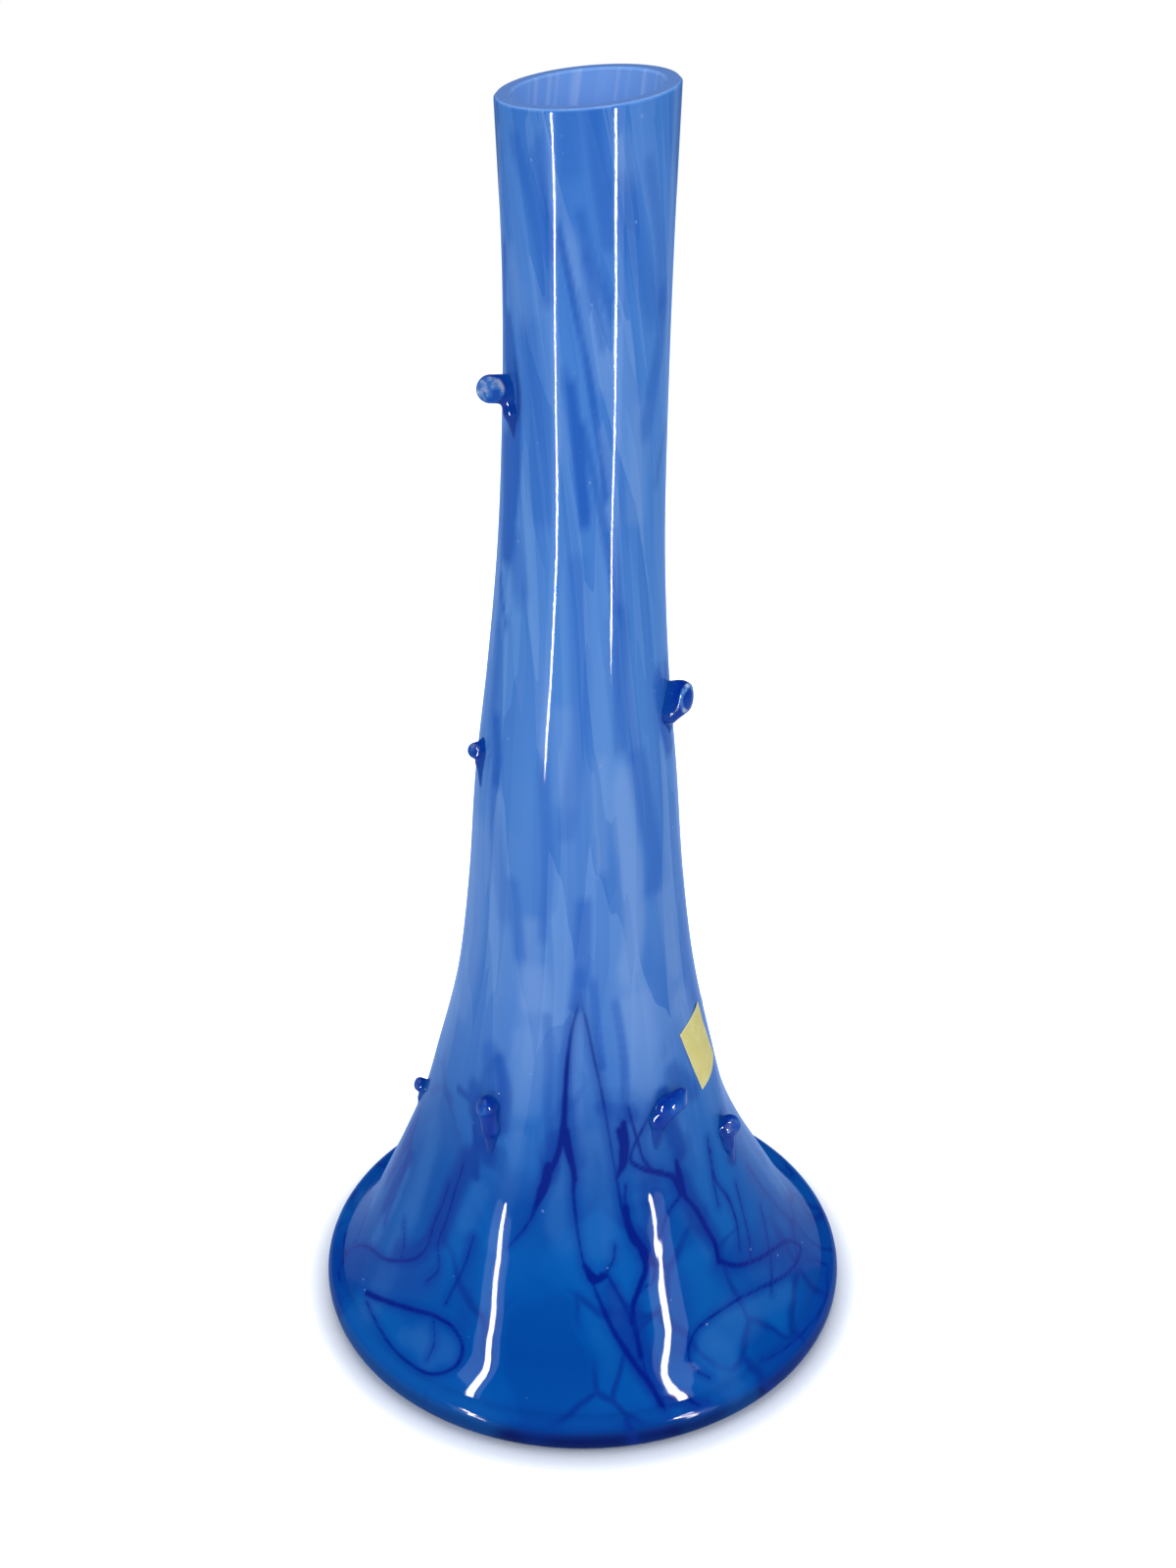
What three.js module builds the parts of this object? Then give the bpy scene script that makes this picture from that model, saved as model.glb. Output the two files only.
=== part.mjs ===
// A tall hand-blown glass vase shaped like a tree trunk: a thick round foot, a steep flaring skirt,
// a long slightly leaning neck with a mouth cut off at a slant, and small knobs of darker glass that
// were pulled from hot bits with shears. Every knob sits on the wall over a low root that runs down
// to the foot. A small plain paper label is stuck on the skirt.
//
// Millimetres, +Z up. The origin is the middle of the foot, on the surface that the vase stands on.
// An azimuth of 0 is the front, at -Y, and azimuths grow towards the right, at +X.

import * as THREE from 'three';

// Driving sizes of the trunk
const vaseHeight = 333.5;
const footRadius = 75;
const edgeThickness = 9.6;
const edgeRound = 4.8;
const bendRadius = 64;
const bendHeight = 16.5;
const bendRound = 8;
const neckRadius = 19.8;
const mouthRadius = 20.6;

// Heights up the trunk, as shares of the vase's height, each with the share of the way from the
// neck's radius to the foot's radius that the trunk has flared to there
const trunkFlareShares = [
  [0.09, 0.667], [0.126, 0.554], [0.18, 0.414], [0.24, 0.323], [0.315, 0.226], [0.405, 0.153],
  [0.495, 0.109], [0.585, 0.054], [0.675, 0.017], [0.78, 0.002], [0.9, 0],
];

// Glass thickness
const mouthWall = 3.8;
const skirtWall = 7;
const floorThickness = 8;
const floorCornerHeight = 24;
const floorFlatRadius = 36;

// Underside: a flat ring to stand on, a low dome inside it, and a ground hollow in the middle
const standRingInner = 46;
const domeRise = 2;
const hollowRadius = 14;
const hollowDepth = 1.6;

// The mouth is cut at a slant: how far the cut rises over the mouth's width to the right and to the
// back, and the height below which the wall doesn't follow it
const cutRiseRight = 3.3;
const cutRiseBack = 3.3;
const cutFollowShare = 0.87;
const outerBevel = 0.6;
const innerBevel = 0.5;

// The trunk's middle line leans to the left above the foot and comes back over it in the neck
const trunkLean = 1.65;
const neckLean = 1.5;
const leanShares = [0, 0.15, 0.45, 0.93];

// The wall is slightly uneven all round, as hand-blown glass is
const waveHeight = 0.28;
const waveLength = 210;
const waveStartHeight = 30;
const waveFullHeight = 90;

// Knobs: the sizes of a whole knob, of which each one takes shares
const knobReach = 6;
const knobRadius = 3.4;
const knobFilletHeight = 1.8;
const knobRootHalfWidth = 4;
const knobRootUp = 4;
const knobRootDown = 9;
const headCurlShare = 1.3;
const seatGap = 0.3;

// The swellings of the wall that run down from the lower knobs, like the roots of a tree
const swellHeight = 2.2;
const swellDegrees = 11;
const swellFadeAbove = 20;

// Paper label, stuck on a little askew
const labelWidth = 13.5;
const labelLength = 19.5;
const labelThickness = 0.2;
const labelHeight = 88.5;
const labelAzimuth = 67;
const labelTurn = 10;

// How finely the round forms are divided
const wallSides = 56;
const trunkSteps = 24;
const cavitySteps = 18;
const roundSteps = 4;
const bendSteps = 5;
const knobSides = 14;
const labelSteps = 5;

// Each knob: where its root is, its thickness against the whole knob and how much taller than wide
// it is; how far its root runs up and down the wall, how wide it is and how far its tail bends to
// the right; how far its head reaches out, to the right and up the wall; which way its flat sheared
// face looks (out, right and up) and how near that face is to the head's middle; and how strong a
// swelling of the wall runs down from it to the foot
const knobs = [
  {
    name: 'neck_hook_left',
    heightShare: 0.804, azimuth: -66, sizeShare: 0.98, tallShare: 1,
    upShare: 1, downShare: 1.1, widthShare: 0.95, tailShare: 0.85,
    reachShares: [0.67, 0, 0.07], cutShares: [0.4, 0.9, 0.1], cutDepthShare: 0.45,
    swellShare: 0,
  },
  {
    name: 'trunk_stub_right',
    heightShare: 0.564, azimuth: 77, sizeShare: 1.22, tallShare: 1.15,
    upShare: 1.3, downShare: 0.95, widthShare: 1.2, tailShare: -0.4,
    reachShares: [0.5, 0, 0.15], cutShares: [0.95, -0.3, 0], cutDepthShare: 0.5,
    swellShare: 0,
  },
  {
    name: 'trunk_bud_left',
    heightShare: 0.523, azimuth: -72, sizeShare: 0.64, tallShare: 1.15,
    upShare: 0.75, downShare: 1, widthShare: 0.65, tailShare: 0.3,
    reachShares: [0.26, -0.05, 0.1], cutShares: [0.7, 0.6, 0.2], cutDepthShare: 0.6,
    swellShare: 0,
  },
  {
    name: 'foot_thorn_back_left',
    heightShare: 0.182, azimuth: -96, sizeShare: 0.6, tallShare: 1.2,
    upShare: 0.7, downShare: 0.75, widthShare: 0.65, tailShare: 0.2,
    reachShares: [0.24, 0, 0.08], cutShares: [0.8, 0.5, 0.2], cutDepthShare: 0.55,
    swellShare: 0.7,
  },
  {
    name: 'foot_curl_front_left',
    heightShare: 0.242, azimuth: -34.5, sizeShare: 0.8, tallShare: 1.15,
    upShare: 0.85, downShare: 1.25, widthShare: 0.8, tailShare: 0.35,
    reachShares: [0.38, -0.03, 0.3], cutShares: [0.8, -0.4, 0.3], cutDepthShare: 0.55,
    swellShare: 1,
  },
  {
    name: 'foot_curl_front_right',
    heightShare: 0.241, azimuth: 38, sizeShare: 0.88, tallShare: 1.1,
    upShare: 0.9, downShare: 1.1, widthShare: 0.85, tailShare: -0.9,
    reachShares: [0.42, 0.35, 0.3], cutShares: [0.8, 0.5, -0.1], cutDepthShare: 0.55,
    swellShare: 0.85,
  },
  {
    name: 'foot_bud_right',
    heightShare: 0.186, azimuth: 67, sizeShare: 0.84, tallShare: 1.1,
    upShare: 0.9, downShare: 0.95, widthShare: 0.85, tailShare: 0.1,
    reachShares: [0.36, 0.1, 0.26], cutShares: [0.7, -0.6, 0], cutDepthShare: 0.55,
    swellShare: 1,
  },
  {
    name: 'foot_bud_back_right',
    heightShare: 0.224, azimuth: 128, sizeShare: 0.85, tallShare: 1.1,
    upShare: 0.85, downShare: 1, widthShare: 0.8, tailShare: -0.3,
    reachShares: [0.5, -0.1, 0.22], cutShares: [0.8, -0.5, 0.1], cutDepthShare: 0.55,
    swellShare: 0.9,
  },
  {
    name: 'foot_bud_back_left',
    heightShare: 0.21, azimuth: -158, sizeShare: 0.85, tallShare: 1.1,
    upShare: 0.85, downShare: 1, widthShare: 0.8, tailShare: 0.3,
    reachShares: [0.5, 0.1, 0.22], cutShares: [0.8, 0.5, 0.1], cutDepthShare: 0.55,
    swellShare: 0.9,
  },
];

// Glass and paper, with the colours that they have in daylight
const mottledGlass = new THREE.MeshStandardMaterial({ color: 0x4a7dce, roughness: 0.08, metalness: 0 });
const cobaltGlass = new THREE.MeshStandardMaterial({ color: 0x16449f, roughness: 0.05, metalness: 0 });
const labelPaper = new THREE.MeshStandardMaterial({ color: 0xe2da88, roughness: 0.8, metalness: 0 });

const degrees = Math.PI / 180;
const up = new THREE.Vector3(0, 0, 1);

function smoothStep(low, high, value) {
  return THREE.MathUtils.smoothstep(value, low, high);
}

// The outside radius of the round trunk by height: a smooth curve through the bend over the foot,
// the flare's places and the mouth

function trunkStations() {
  const stations = trunkFlareShares.map(([heightShare, flareShare]) => ({
    height: heightShare * vaseHeight,
    radius: THREE.MathUtils.lerp(neckRadius, footRadius, flareShare),
  }));
  stations.unshift({ height: bendHeight, radius: bendRadius });
  stations.push({ height: vaseHeight, radius: mouthRadius });
  return stations;
}

function stationSlopes(stations) {
  const runs = [];
  const rises = [];
  for (let i = 0; i + 1 < stations.length; i += 1) {
    runs.push(stations[i + 1].height - stations[i].height);
    rises.push((stations[i + 1].radius - stations[i].radius) / runs[i]);
  }
  const last = rises.length - 1;
  return stations.map((station, i) => {
    if (i === 0) return rises[0];
    if (i > last) return rises[last];
    return (rises[i - 1] * runs[i] + rises[i] * runs[i - 1]) / (runs[i] + runs[i - 1]);
  });
}

const stations = trunkStations();
const slopes = stationSlopes(stations);

function trunkRadius(height) {
  let i = 0;
  while (i + 2 < stations.length && height > stations[i + 1].height) i += 1;
  const run = stations[i + 1].height - stations[i].height;
  const share = (height - stations[i].height) / run;
  const square = share * share;
  const cube = square * share;
  const fromLow = THREE.MathUtils.lerp(stations[i].radius, stations[i + 1].radius, 3 * square - 2 * cube);
  const fromSlopes = (cube - 2 * square + share) * slopes[i] + (cube - square) * slopes[i + 1];
  return fromLow + fromSlopes * run;
}

function wallThickness(height) {
  return mouthWall + (skirtWall - mouthWall) * (1 - height / vaseHeight) ** 3;
}

// The middle line's sideways place by height

function leanAt(height) {
  const [footShare, trunkShare, turnShare, neckShare] = leanShares.map((share) => share * vaseHeight);
  const toTrunk = smoothStep(footShare, trunkShare, height);
  const toNeck = smoothStep(turnShare, neckShare, height);
  return -trunkLean * toTrunk + (trunkLean + neckLean) * toNeck;
}

// How far the outside stands proud of a true round: the roots below the foot's knobs, and the
// slight unevenness

function rootSwell(height, azimuth) {
  let swell = 0;
  for (const knob of knobs) {
    if (knob.swellShare === 0) continue;
    const knobHeight = knob.heightShare * vaseHeight;
    const away = THREE.MathUtils.euclideanModulo(azimuth - knob.azimuth + 180, 360) - 180;
    const across = Math.exp(-0.5 * (away / swellDegrees) ** 2);
    const rise = smoothStep(bendHeight, knobHeight, height);
    const fade = 1 - smoothStep(knobHeight, knobHeight + swellFadeAbove, height);
    swell += swellHeight * knob.swellShare * across * rise * fade;
  }
  return swell;
}

function unevenness(height, azimuth) {
  const strength = smoothStep(waveStartHeight, waveFullHeight, height);
  return waveHeight * strength * Math.sin(2 * azimuth * degrees + (height / waveLength) * 2 * Math.PI);
}

// A point of the wall, from its radius and height on the round outline

function cutRise(x, y) {
  return (cutRiseRight * x + cutRiseBack * y) / (2 * mouthRadius);
}

function placeOnTrunk(radius, height, azimuth) {
  const x = leanAt(height) + radius * Math.sin(azimuth * degrees);
  const y = -radius * Math.cos(azimuth * degrees);
  const cutStart = vaseHeight * cutFollowShare;
  const followCut = Math.max(0, (height - cutStart) / (vaseHeight - cutStart));
  return new THREE.Vector3(x, y, height + cutRise(x, y) * followCut);
}

function outsidePoint(height, azimuth) {
  const radius = trunkRadius(height) + rootSwell(height, azimuth) + unevenness(height, azimuth);
  return placeOnTrunk(radius, height, azimuth);
}

function outsideNormal(height, azimuth) {
  const heightStep = mouthWall / 4;
  const turnStep = 1;
  const alongUp = outsidePoint(height + heightStep, azimuth).sub(outsidePoint(height - heightStep, azimuth));
  const alongRound = outsidePoint(height, azimuth + turnStep).sub(outsidePoint(height, azimuth - turnStep));
  return alongRound.cross(alongUp).normalize();
}

// A closed mesh from rings of points, each ring running round towards growing azimuths as seen from
// outside, with a single point closing each end

function closedMesh(name, material, rings, firstPole, lastPole) {
  const sides = rings[0].length;
  const points = [firstPole, ...rings.flat(), lastPole];
  const lastIndex = points.length - 1;
  const index = [];
  for (let side = 0; side < sides; side += 1) {
    const next = (side + 1) % sides;
    index.push(0, 1 + next, 1 + side);
    for (let ring = 0; ring + 1 < rings.length; ring += 1) {
      const low = 1 + ring * sides;
      const high = low + sides;
      index.push(low + side, low + next, high + next);
      index.push(low + side, high + next, high + side);
    }
    const top = 1 + (rings.length - 1) * sides;
    index.push(top + side, top + next, lastIndex);
  }
  const geometry = new THREE.BufferGeometry().setFromPoints(points);
  geometry.setIndex(index);
  geometry.computeVertexNormals();
  const mesh = new THREE.Mesh(geometry, material);
  mesh.name = name;
  return mesh;
}

function curvePoints(start, control, end, steps) {
  const curve = new THREE.QuadraticBezierCurve(start, control, end);
  return curve.getPoints(steps);
}

// Body

function underside() {
  const hollowFloor = domeRise + hollowDepth;
  const hollow = curvePoints(
    new THREE.Vector2(0, hollowFloor),
    new THREE.Vector2(hollowRadius / 2, hollowFloor),
    new THREE.Vector2(hollowRadius, domeRise),
    roundSteps,
  );
  const dome = curvePoints(
    new THREE.Vector2(hollowRadius, domeRise),
    new THREE.Vector2(standRingInner * 0.7, domeRise),
    new THREE.Vector2(standRingInner, 0),
    roundSteps,
  );
  return [...hollow.slice(1), ...dome.slice(1)];
}

function footEdge() {
  const flatRadius = footRadius - edgeRound;
  const middle = new THREE.Vector2(footRadius, edgeThickness / 2);
  const underRound = curvePoints(
    new THREE.Vector2(flatRadius, 0),
    new THREE.Vector2(footRadius, 0),
    middle,
    roundSteps,
  );
  const overRound = curvePoints(
    middle,
    new THREE.Vector2(footRadius, edgeThickness),
    new THREE.Vector2(flatRadius, edgeThickness),
    roundSteps,
  );
  return [...underRound, ...overRound.slice(1)];
}

// The brim rises from the edge to the bend, which is rounded into the steep skirt

function brimAndBend() {
  const brimStart = new THREE.Vector2(footRadius - edgeRound, edgeThickness);
  const corner = new THREE.Vector2(bendRadius, bendHeight);
  const brimLength = brimStart.distanceTo(corner);
  const bendStart = corner.clone().lerp(brimStart, bendRound / brimLength);
  const bendTop = bendHeight + bendRound;
  return curvePoints(bendStart, corner, new THREE.Vector2(trunkRadius(bendTop), bendTop), bendSteps);
}

function bodyOutlineOutside() {
  const trunkStart = bendHeight + bendRound;
  const bevelStart = vaseHeight - outerBevel;
  const points = [...underside(), ...footEdge(), ...brimAndBend()];
  for (let step = 1; step <= trunkSteps; step += 1) {
    const share = (step / trunkSteps) ** 1.15;
    const height = THREE.MathUtils.lerp(trunkStart, bevelStart, share);
    points.push(new THREE.Vector2(trunkRadius(height), height));
  }
  return points;
}

function cavityRadius(height) {
  return trunkRadius(height) - wallThickness(height);
}

function bodyOutlineInside() {
  const points = [
    new THREE.Vector2(mouthRadius - outerBevel, vaseHeight),
    new THREE.Vector2(mouthRadius - mouthWall + innerBevel, vaseHeight),
  ];
  const bevelEnd = vaseHeight - innerBevel;
  for (let step = 0; step <= cavitySteps; step += 1) {
    const share = 1 - (1 - step / cavitySteps) ** 1.1;
    const height = THREE.MathUtils.lerp(bevelEnd, floorCornerHeight, share);
    points.push(new THREE.Vector2(cavityRadius(height), height));
  }
  const cornerTop = new THREE.Vector2(cavityRadius(floorCornerHeight), floorCornerHeight);
  const corner = new THREE.Vector2(cavityRadius(floorCornerHeight), floorThickness);
  const floorStart = new THREE.Vector2(floorFlatRadius, floorThickness);
  points.push(...curvePoints(cornerTop, corner, floorStart, roundSteps).slice(1));
  points.push(new THREE.Vector2(floorFlatRadius / 2, floorThickness));
  return points;
}

function outlineRing(point, outside) {
  const ring = [];
  for (let side = 0; side < wallSides; side += 1) {
    const azimuth = (side * 360) / wallSides;
    const uneven = unevenness(point.y, azimuth);
    const swell = outside ? rootSwell(point.y, azimuth) : 0;
    ring.push(placeOnTrunk(point.x + uneven + swell, point.y, azimuth));
  }
  return ring;
}

function vaseBody() {
  const outside = bodyOutlineOutside().map((point) => outlineRing(point, true));
  const inside = bodyOutlineInside().map((point) => outlineRing(point, false));
  const underPole = new THREE.Vector3(0, 0, domeRise + hollowDepth);
  const floorPole = new THREE.Vector3(leanAt(floorThickness), 0, floorThickness);
  return closedMesh('vase_body', mottledGlass, [...outside, ...inside], underPole, floorPole);
}

// A knob: a teardrop root that lies on the wall, a fillet that gathers it into a neck, a curling
// stem with a thicker head, and the flat end where the shears cut it off

function wallFrame(height, azimuth) {
  const outward = outsideNormal(height, azimuth);
  const right = new THREE.Vector3(Math.cos(azimuth * degrees), Math.sin(azimuth * degrees), 0);
  const upWall = outward.clone().cross(right).normalize();
  return { outward, right, upWall, steepness: upWall.dot(up) };
}

// A place beside the knob's middle, lying on the wall and lifted clear of it

function besideRoot(knobPlace, right, along, lift) {
  const height = knobPlace.height + along * knobPlace.frame.steepness;
  const azimuth = knobPlace.azimuth + right / (knobPlace.radius * degrees);
  const onWall = outsidePoint(height, azimuth);
  onWall.addScaledVector(outsideNormal(height, azimuth), seatGap);
  return onWall.addScaledVector(knobPlace.frame.outward, lift);
}

function rootOutline(knob) {
  const outline = [];
  for (let side = 0; side < knobSides; side += 1) {
    const turn = (side / knobSides) * 2 * Math.PI;
    const above = Math.sin(turn) > 0;
    const reach = above ? knobRootUp * knob.upShare : knobRootDown * knob.downShare;
    const intoTail = above ? 0 : Math.sin(turn) ** 2;
    const halfWidth = knobRootHalfWidth * knob.widthShare;
    const right = halfWidth * (Math.cos(turn) * (1 - intoTail / 2) + knob.tailShare * intoTail);
    outline.push(new THREE.Vector2(right, reach * Math.sin(turn)));
  }
  return outline;
}

function stemOutline(radius, tallShare) {
  const outline = [];
  for (let side = 0; side < knobSides; side += 1) {
    const turn = (side / knobSides) * 2 * Math.PI;
    outline.push(new THREE.Vector2(radius * Math.cos(turn), radius * tallShare * Math.sin(turn)));
  }
  return outline;
}

function rootRings(knob, knobPlace) {
  const foot = rootOutline(knob);
  const neck = stemOutline(knobRadius * knob.sizeShare, knob.tallShare);
  const lift = knobFilletHeight * knob.sizeShare;
  const underside = foot.map((point) => besideRoot(knobPlace, point.x / 2, point.y / 2, 0));
  const rings = [underside];
  const gatherShares = [0, 0.25, 0.55, 1];
  for (const share of gatherShares) {
    const spread = (1 - share) ** 1.5;
    const ring = foot.map((point, side) => {
      const right = THREE.MathUtils.lerp(neck[side].x, point.x, spread);
      const along = THREE.MathUtils.lerp(neck[side].y, point.y, spread);
      return besideRoot(knobPlace, right, along, lift * share ** 1.1);
    });
    rings.push(ring);
  }
  return rings;
}

function towards(frame, shares) {
  const [outShare, rightShare, upShare] = shares;
  const direction = frame.outward.clone().multiplyScalar(outShare);
  direction.addScaledVector(frame.right, rightShare);
  return direction.addScaledVector(frame.upWall, upShare);
}

function stemCurve(knob, knobPlace) {
  const { frame } = knobPlace;
  const start = besideRoot(knobPlace, 0, 0, knobFilletHeight * knob.sizeShare);
  const tip = besideRoot(knobPlace, 0, 0, 0).addScaledVector(towards(frame, knob.reachShares), knobReach);
  const straightOut = frame.outward.dot(tip.clone().sub(start)) * 0.7;
  const middle = start.clone().addScaledVector(frame.outward, straightOut);
  return new THREE.QuadraticBezierCurve3(start, middle, tip);
}

// The head looks the way that the stem reaches, curled a little further to the side

function headDirection(knob, frame) {
  const [outShare, rightShare, upShare] = knob.reachShares;
  return towards(frame, [outShare, rightShare * headCurlShare, upShare * headCurlShare]).normalize();
}

// The rings of the stem and of its rounded head

function stemRings(knob, knobPlace) {
  const { outward, right, upWall } = knobPlace.frame;
  const curve = stemCurve(knob, knobPlace);
  const facing = headDirection(knob, knobPlace.frame);
  const radius = knobRadius * knob.sizeShare;
  const steps = [0.5, 1].map((alongShare) => ({ alongShare, radius, past: 0 }));
  for (const roundingDegrees of [28, 52, 74]) {
    const turn = roundingDegrees * degrees;
    steps.push({ alongShare: 1, radius: radius * Math.cos(turn), past: radius * Math.sin(turn) });
  }
  const rings = steps.map((step) => {
    const along = outward.clone().lerp(facing, step.alongShare).normalize();
    const turn = new THREE.Quaternion().setFromUnitVectors(outward, along);
    const centre = curve.getPoint(step.alongShare).addScaledVector(along, step.past);
    const across = right.clone().applyQuaternion(turn);
    const upright = upWall.clone().applyQuaternion(turn);
    return stemOutline(step.radius, knob.tallShare).map((point) => {
      return centre.clone().addScaledVector(across, point.x).addScaledVector(upright, point.y);
    });
  });
  const end = curve.getPoint(1).addScaledVector(facing, radius);
  return { rings, end };
}

// The shears leave a flat face: what would stand beyond it is pressed back onto it

function shearFace(knob, knobPlace) {
  const facing = towards(knobPlace.frame, knob.cutShares).normalize();
  const depth = knobRadius * knob.sizeShare * knob.cutDepthShare;
  const middle = stemCurve(knob, knobPlace).getPoint(1).addScaledVector(facing, depth);
  return new THREE.Plane().setFromNormalAndCoplanarPoint(facing, middle);
}

function pressOnto(plane, point) {
  const beyond = plane.distanceToPoint(point);
  return beyond > 0 ? point.addScaledVector(plane.normal, -beyond) : point;
}

function pulledKnob(knob) {
  const height = knob.heightShare * vaseHeight;
  const frame = wallFrame(height, knob.azimuth);
  const knobPlace = { height, azimuth: knob.azimuth, radius: trunkRadius(height), frame };
  const stem = stemRings(knob, knobPlace);
  const face = shearFace(knob, knobPlace);
  const head = stem.rings.map((ring) => ring.map((point) => pressOnto(face, point)));
  const rings = [...rootRings(knob, knobPlace), ...head];
  const rootPole = besideRoot(knobPlace, 0, 0, 0);
  return closedMesh(knob.name, cobaltGlass, rings, rootPole, pressOnto(face, stem.end));
}

// The label: a thin sheet that follows the wall, turned a little askew

function labelPoint(acrossShare, alongShare, lift) {
  const across = (acrossShare - 0.5) * labelWidth;
  const along = (alongShare - 0.5) * labelLength;
  const turn = labelTurn * degrees;
  const right = across * Math.cos(turn) - along * Math.sin(turn);
  const rise = across * Math.sin(turn) + along * Math.cos(turn);
  const frame = wallFrame(labelHeight, labelAzimuth);
  const height = labelHeight + rise * frame.steepness;
  const azimuth = labelAzimuth + right / (trunkRadius(height) * degrees);
  return outsidePoint(height, azimuth).addScaledVector(outsideNormal(height, azimuth), seatGap + lift);
}

function sheetRing(insetShare, lift) {
  const corners = [[0, 0], [1, 0], [1, 1], [0, 1]];
  const ring = [];
  for (let edge = 0; edge < corners.length; edge += 1) {
    const from = corners[edge];
    const to = corners[(edge + 1) % corners.length];
    for (let step = 0; step < labelSteps; step += 1) {
      const across = THREE.MathUtils.lerp(from[0], to[0], step / labelSteps);
      const along = THREE.MathUtils.lerp(from[1], to[1], step / labelSteps);
      const inX = THREE.MathUtils.lerp(across, 0.5, insetShare);
      const inY = THREE.MathUtils.lerp(along, 0.5, insetShare);
      ring.push(labelPoint(inX, inY, lift));
    }
  }
  return ring;
}

function paperLabel() {
  const rings = [
    sheetRing(0.66, 0),
    sheetRing(0.33, 0),
    sheetRing(0, 0),
    sheetRing(0, labelThickness),
    sheetRing(0.33, labelThickness),
    sheetRing(0.66, labelThickness),
  ];
  const underMiddle = labelPoint(0.5, 0.5, 0);
  const topMiddle = labelPoint(0.5, 0.5, labelThickness);
  return closedMesh('paper_label', labelPaper, rings, underMiddle, topMiddle);
}

const vase = new THREE.Group();
vase.add(vaseBody());
for (const knob of knobs) {
  vase.add(pulledKnob(knob));
}
vase.add(paperLabel());

export default vase;
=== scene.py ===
import math
from functools import partial

import bpy
import numpy as np
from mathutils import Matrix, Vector


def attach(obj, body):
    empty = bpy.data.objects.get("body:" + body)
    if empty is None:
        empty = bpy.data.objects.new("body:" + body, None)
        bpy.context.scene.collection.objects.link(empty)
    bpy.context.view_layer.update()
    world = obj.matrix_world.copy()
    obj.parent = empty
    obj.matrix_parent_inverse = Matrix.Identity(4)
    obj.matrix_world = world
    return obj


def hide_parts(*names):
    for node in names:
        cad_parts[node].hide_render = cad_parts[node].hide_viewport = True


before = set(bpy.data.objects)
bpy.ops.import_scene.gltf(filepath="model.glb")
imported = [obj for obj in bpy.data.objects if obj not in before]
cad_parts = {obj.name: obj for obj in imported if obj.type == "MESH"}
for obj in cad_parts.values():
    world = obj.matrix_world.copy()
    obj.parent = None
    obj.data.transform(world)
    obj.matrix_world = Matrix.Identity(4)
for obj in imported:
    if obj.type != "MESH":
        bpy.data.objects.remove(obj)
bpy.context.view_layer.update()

# A tall vase of hand-blown glass in the shape of a tree trunk. Coloured chips were rolled onto the hot
# bubble and drawn out into streaks on the neck. They stayed whole on the foot, where dark cobalt shows
# between them as veins. Hot bits of cobalt glass were pulled out of the wall as knobs.
# Lengths are in millimetres and azimuths in degrees, 0 at the front and growing to the right.

MM = 0.001

VASE_HEIGHT = 333.5
FOOT_RADIUS = 75.0
EDGE_THICKNESS = 9.6
EDGE_ROUND = 4.8
BEND_RADIUS = 64.0
BEND_HEIGHT = 16.5
BEND_ROUND = 8.0
NECK_RADIUS = 19.8
MOUTH_RADIUS = 20.6

# Places up the trunk as shares of the vase's height, and how far each flares from the neck's radius
# towards the foot's
FLARE_SHARES = [
    (0.09, 0.667), (0.126, 0.554), (0.18, 0.414), (0.24, 0.323), (0.315, 0.226), (0.405, 0.153),
    (0.495, 0.109), (0.585, 0.054), (0.675, 0.017), (0.78, 0.002), (0.9, 0.0),
]

MOUTH_WALL = 3.8
SKIRT_WALL = 7.0
FLOOR_THICKNESS = 8.0
FLOOR_CORNER_HEIGHT = 24.0
FLOOR_FLAT_RADIUS = 36.0
STAND_RING_INNER = 46.0
DOME_RISE = 2.0
HOLLOW_RADIUS = 14.0
HOLLOW_DEPTH = 1.6

# The mouth is cut at a slant: how much higher its rim is on the right than on the left and at the back
# than at the front, and the share of the height from which the glass follows the slant
CUT_RISE_RIGHT = 3.3
CUT_RISE_BACK = 3.3
CUT_FOLLOW_SHARE = 0.87
OUTER_BEVEL = 0.6
INNER_BEVEL = 0.5

# How far the trunk leans to the left and the neck to the right, and the shares of the height at which
# the first lean starts and is full and the second starts and is full
TRUNK_LEAN = 1.65
NECK_LEAN = 1.5
LEAN_SHARES = (0.0, 0.15, 0.45, 0.93)

# The wall's slight unevenness, and the heights between which it sets in
WAVE_HEIGHT = 0.28
WAVE_LENGTH = 210.0
WAVE_START_HEIGHT = 30.0
WAVE_FULL_HEIGHT = 90.0

# A knob's glass ends this far inside the wall, and is worked out on a grid of cells this wide, in a box
# with this much room round it. The rim of its sheared face is rounded this much.
KNOB_SINK = 0.4
KNOB_CELL = 0.2
KNOB_MARGIN = 1.0
SHEAR_ROUND = 0.5

# The sheared face carries a painted reflection: it is painted pale between these heights over its plane,
# and out to these shares of the head's radius. Each pair is where the paleness starts to come or go, and
# where it has come or gone.
FACE_STARTS = (-0.42, -0.08)
FACE_ENDS = (0.15, 0.5)
FACE_REACH = (0.95, 1.15)

# The swellings that run down from the lower knobs: how high they are, how many degrees from their middle
# their sides are steepest, and how far above a knob they have faded out
SWELL_HEIGHT = 2.2
SWELL_DEGREES = 11.0
SWELL_FADE_ABOVE = 50.0

# The turned wall: columns all round, how much closer together they are at the front, how close two points
# are joined at its seam and poles, how near the axis a point counts as its middle, the angle past which
# an edge isn't smooth, and how far up and round from a place its slope is measured
WALL_SIDES = 384
FRONT_CROWDING = 0.4
SEAM_MERGE = 0.001
MIDDLE_RADIUS = 0.01
SHARP_DEGREES = 28.0
SLOPE_RISE, SLOPE_TURN = 0.4, 0.8

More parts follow.
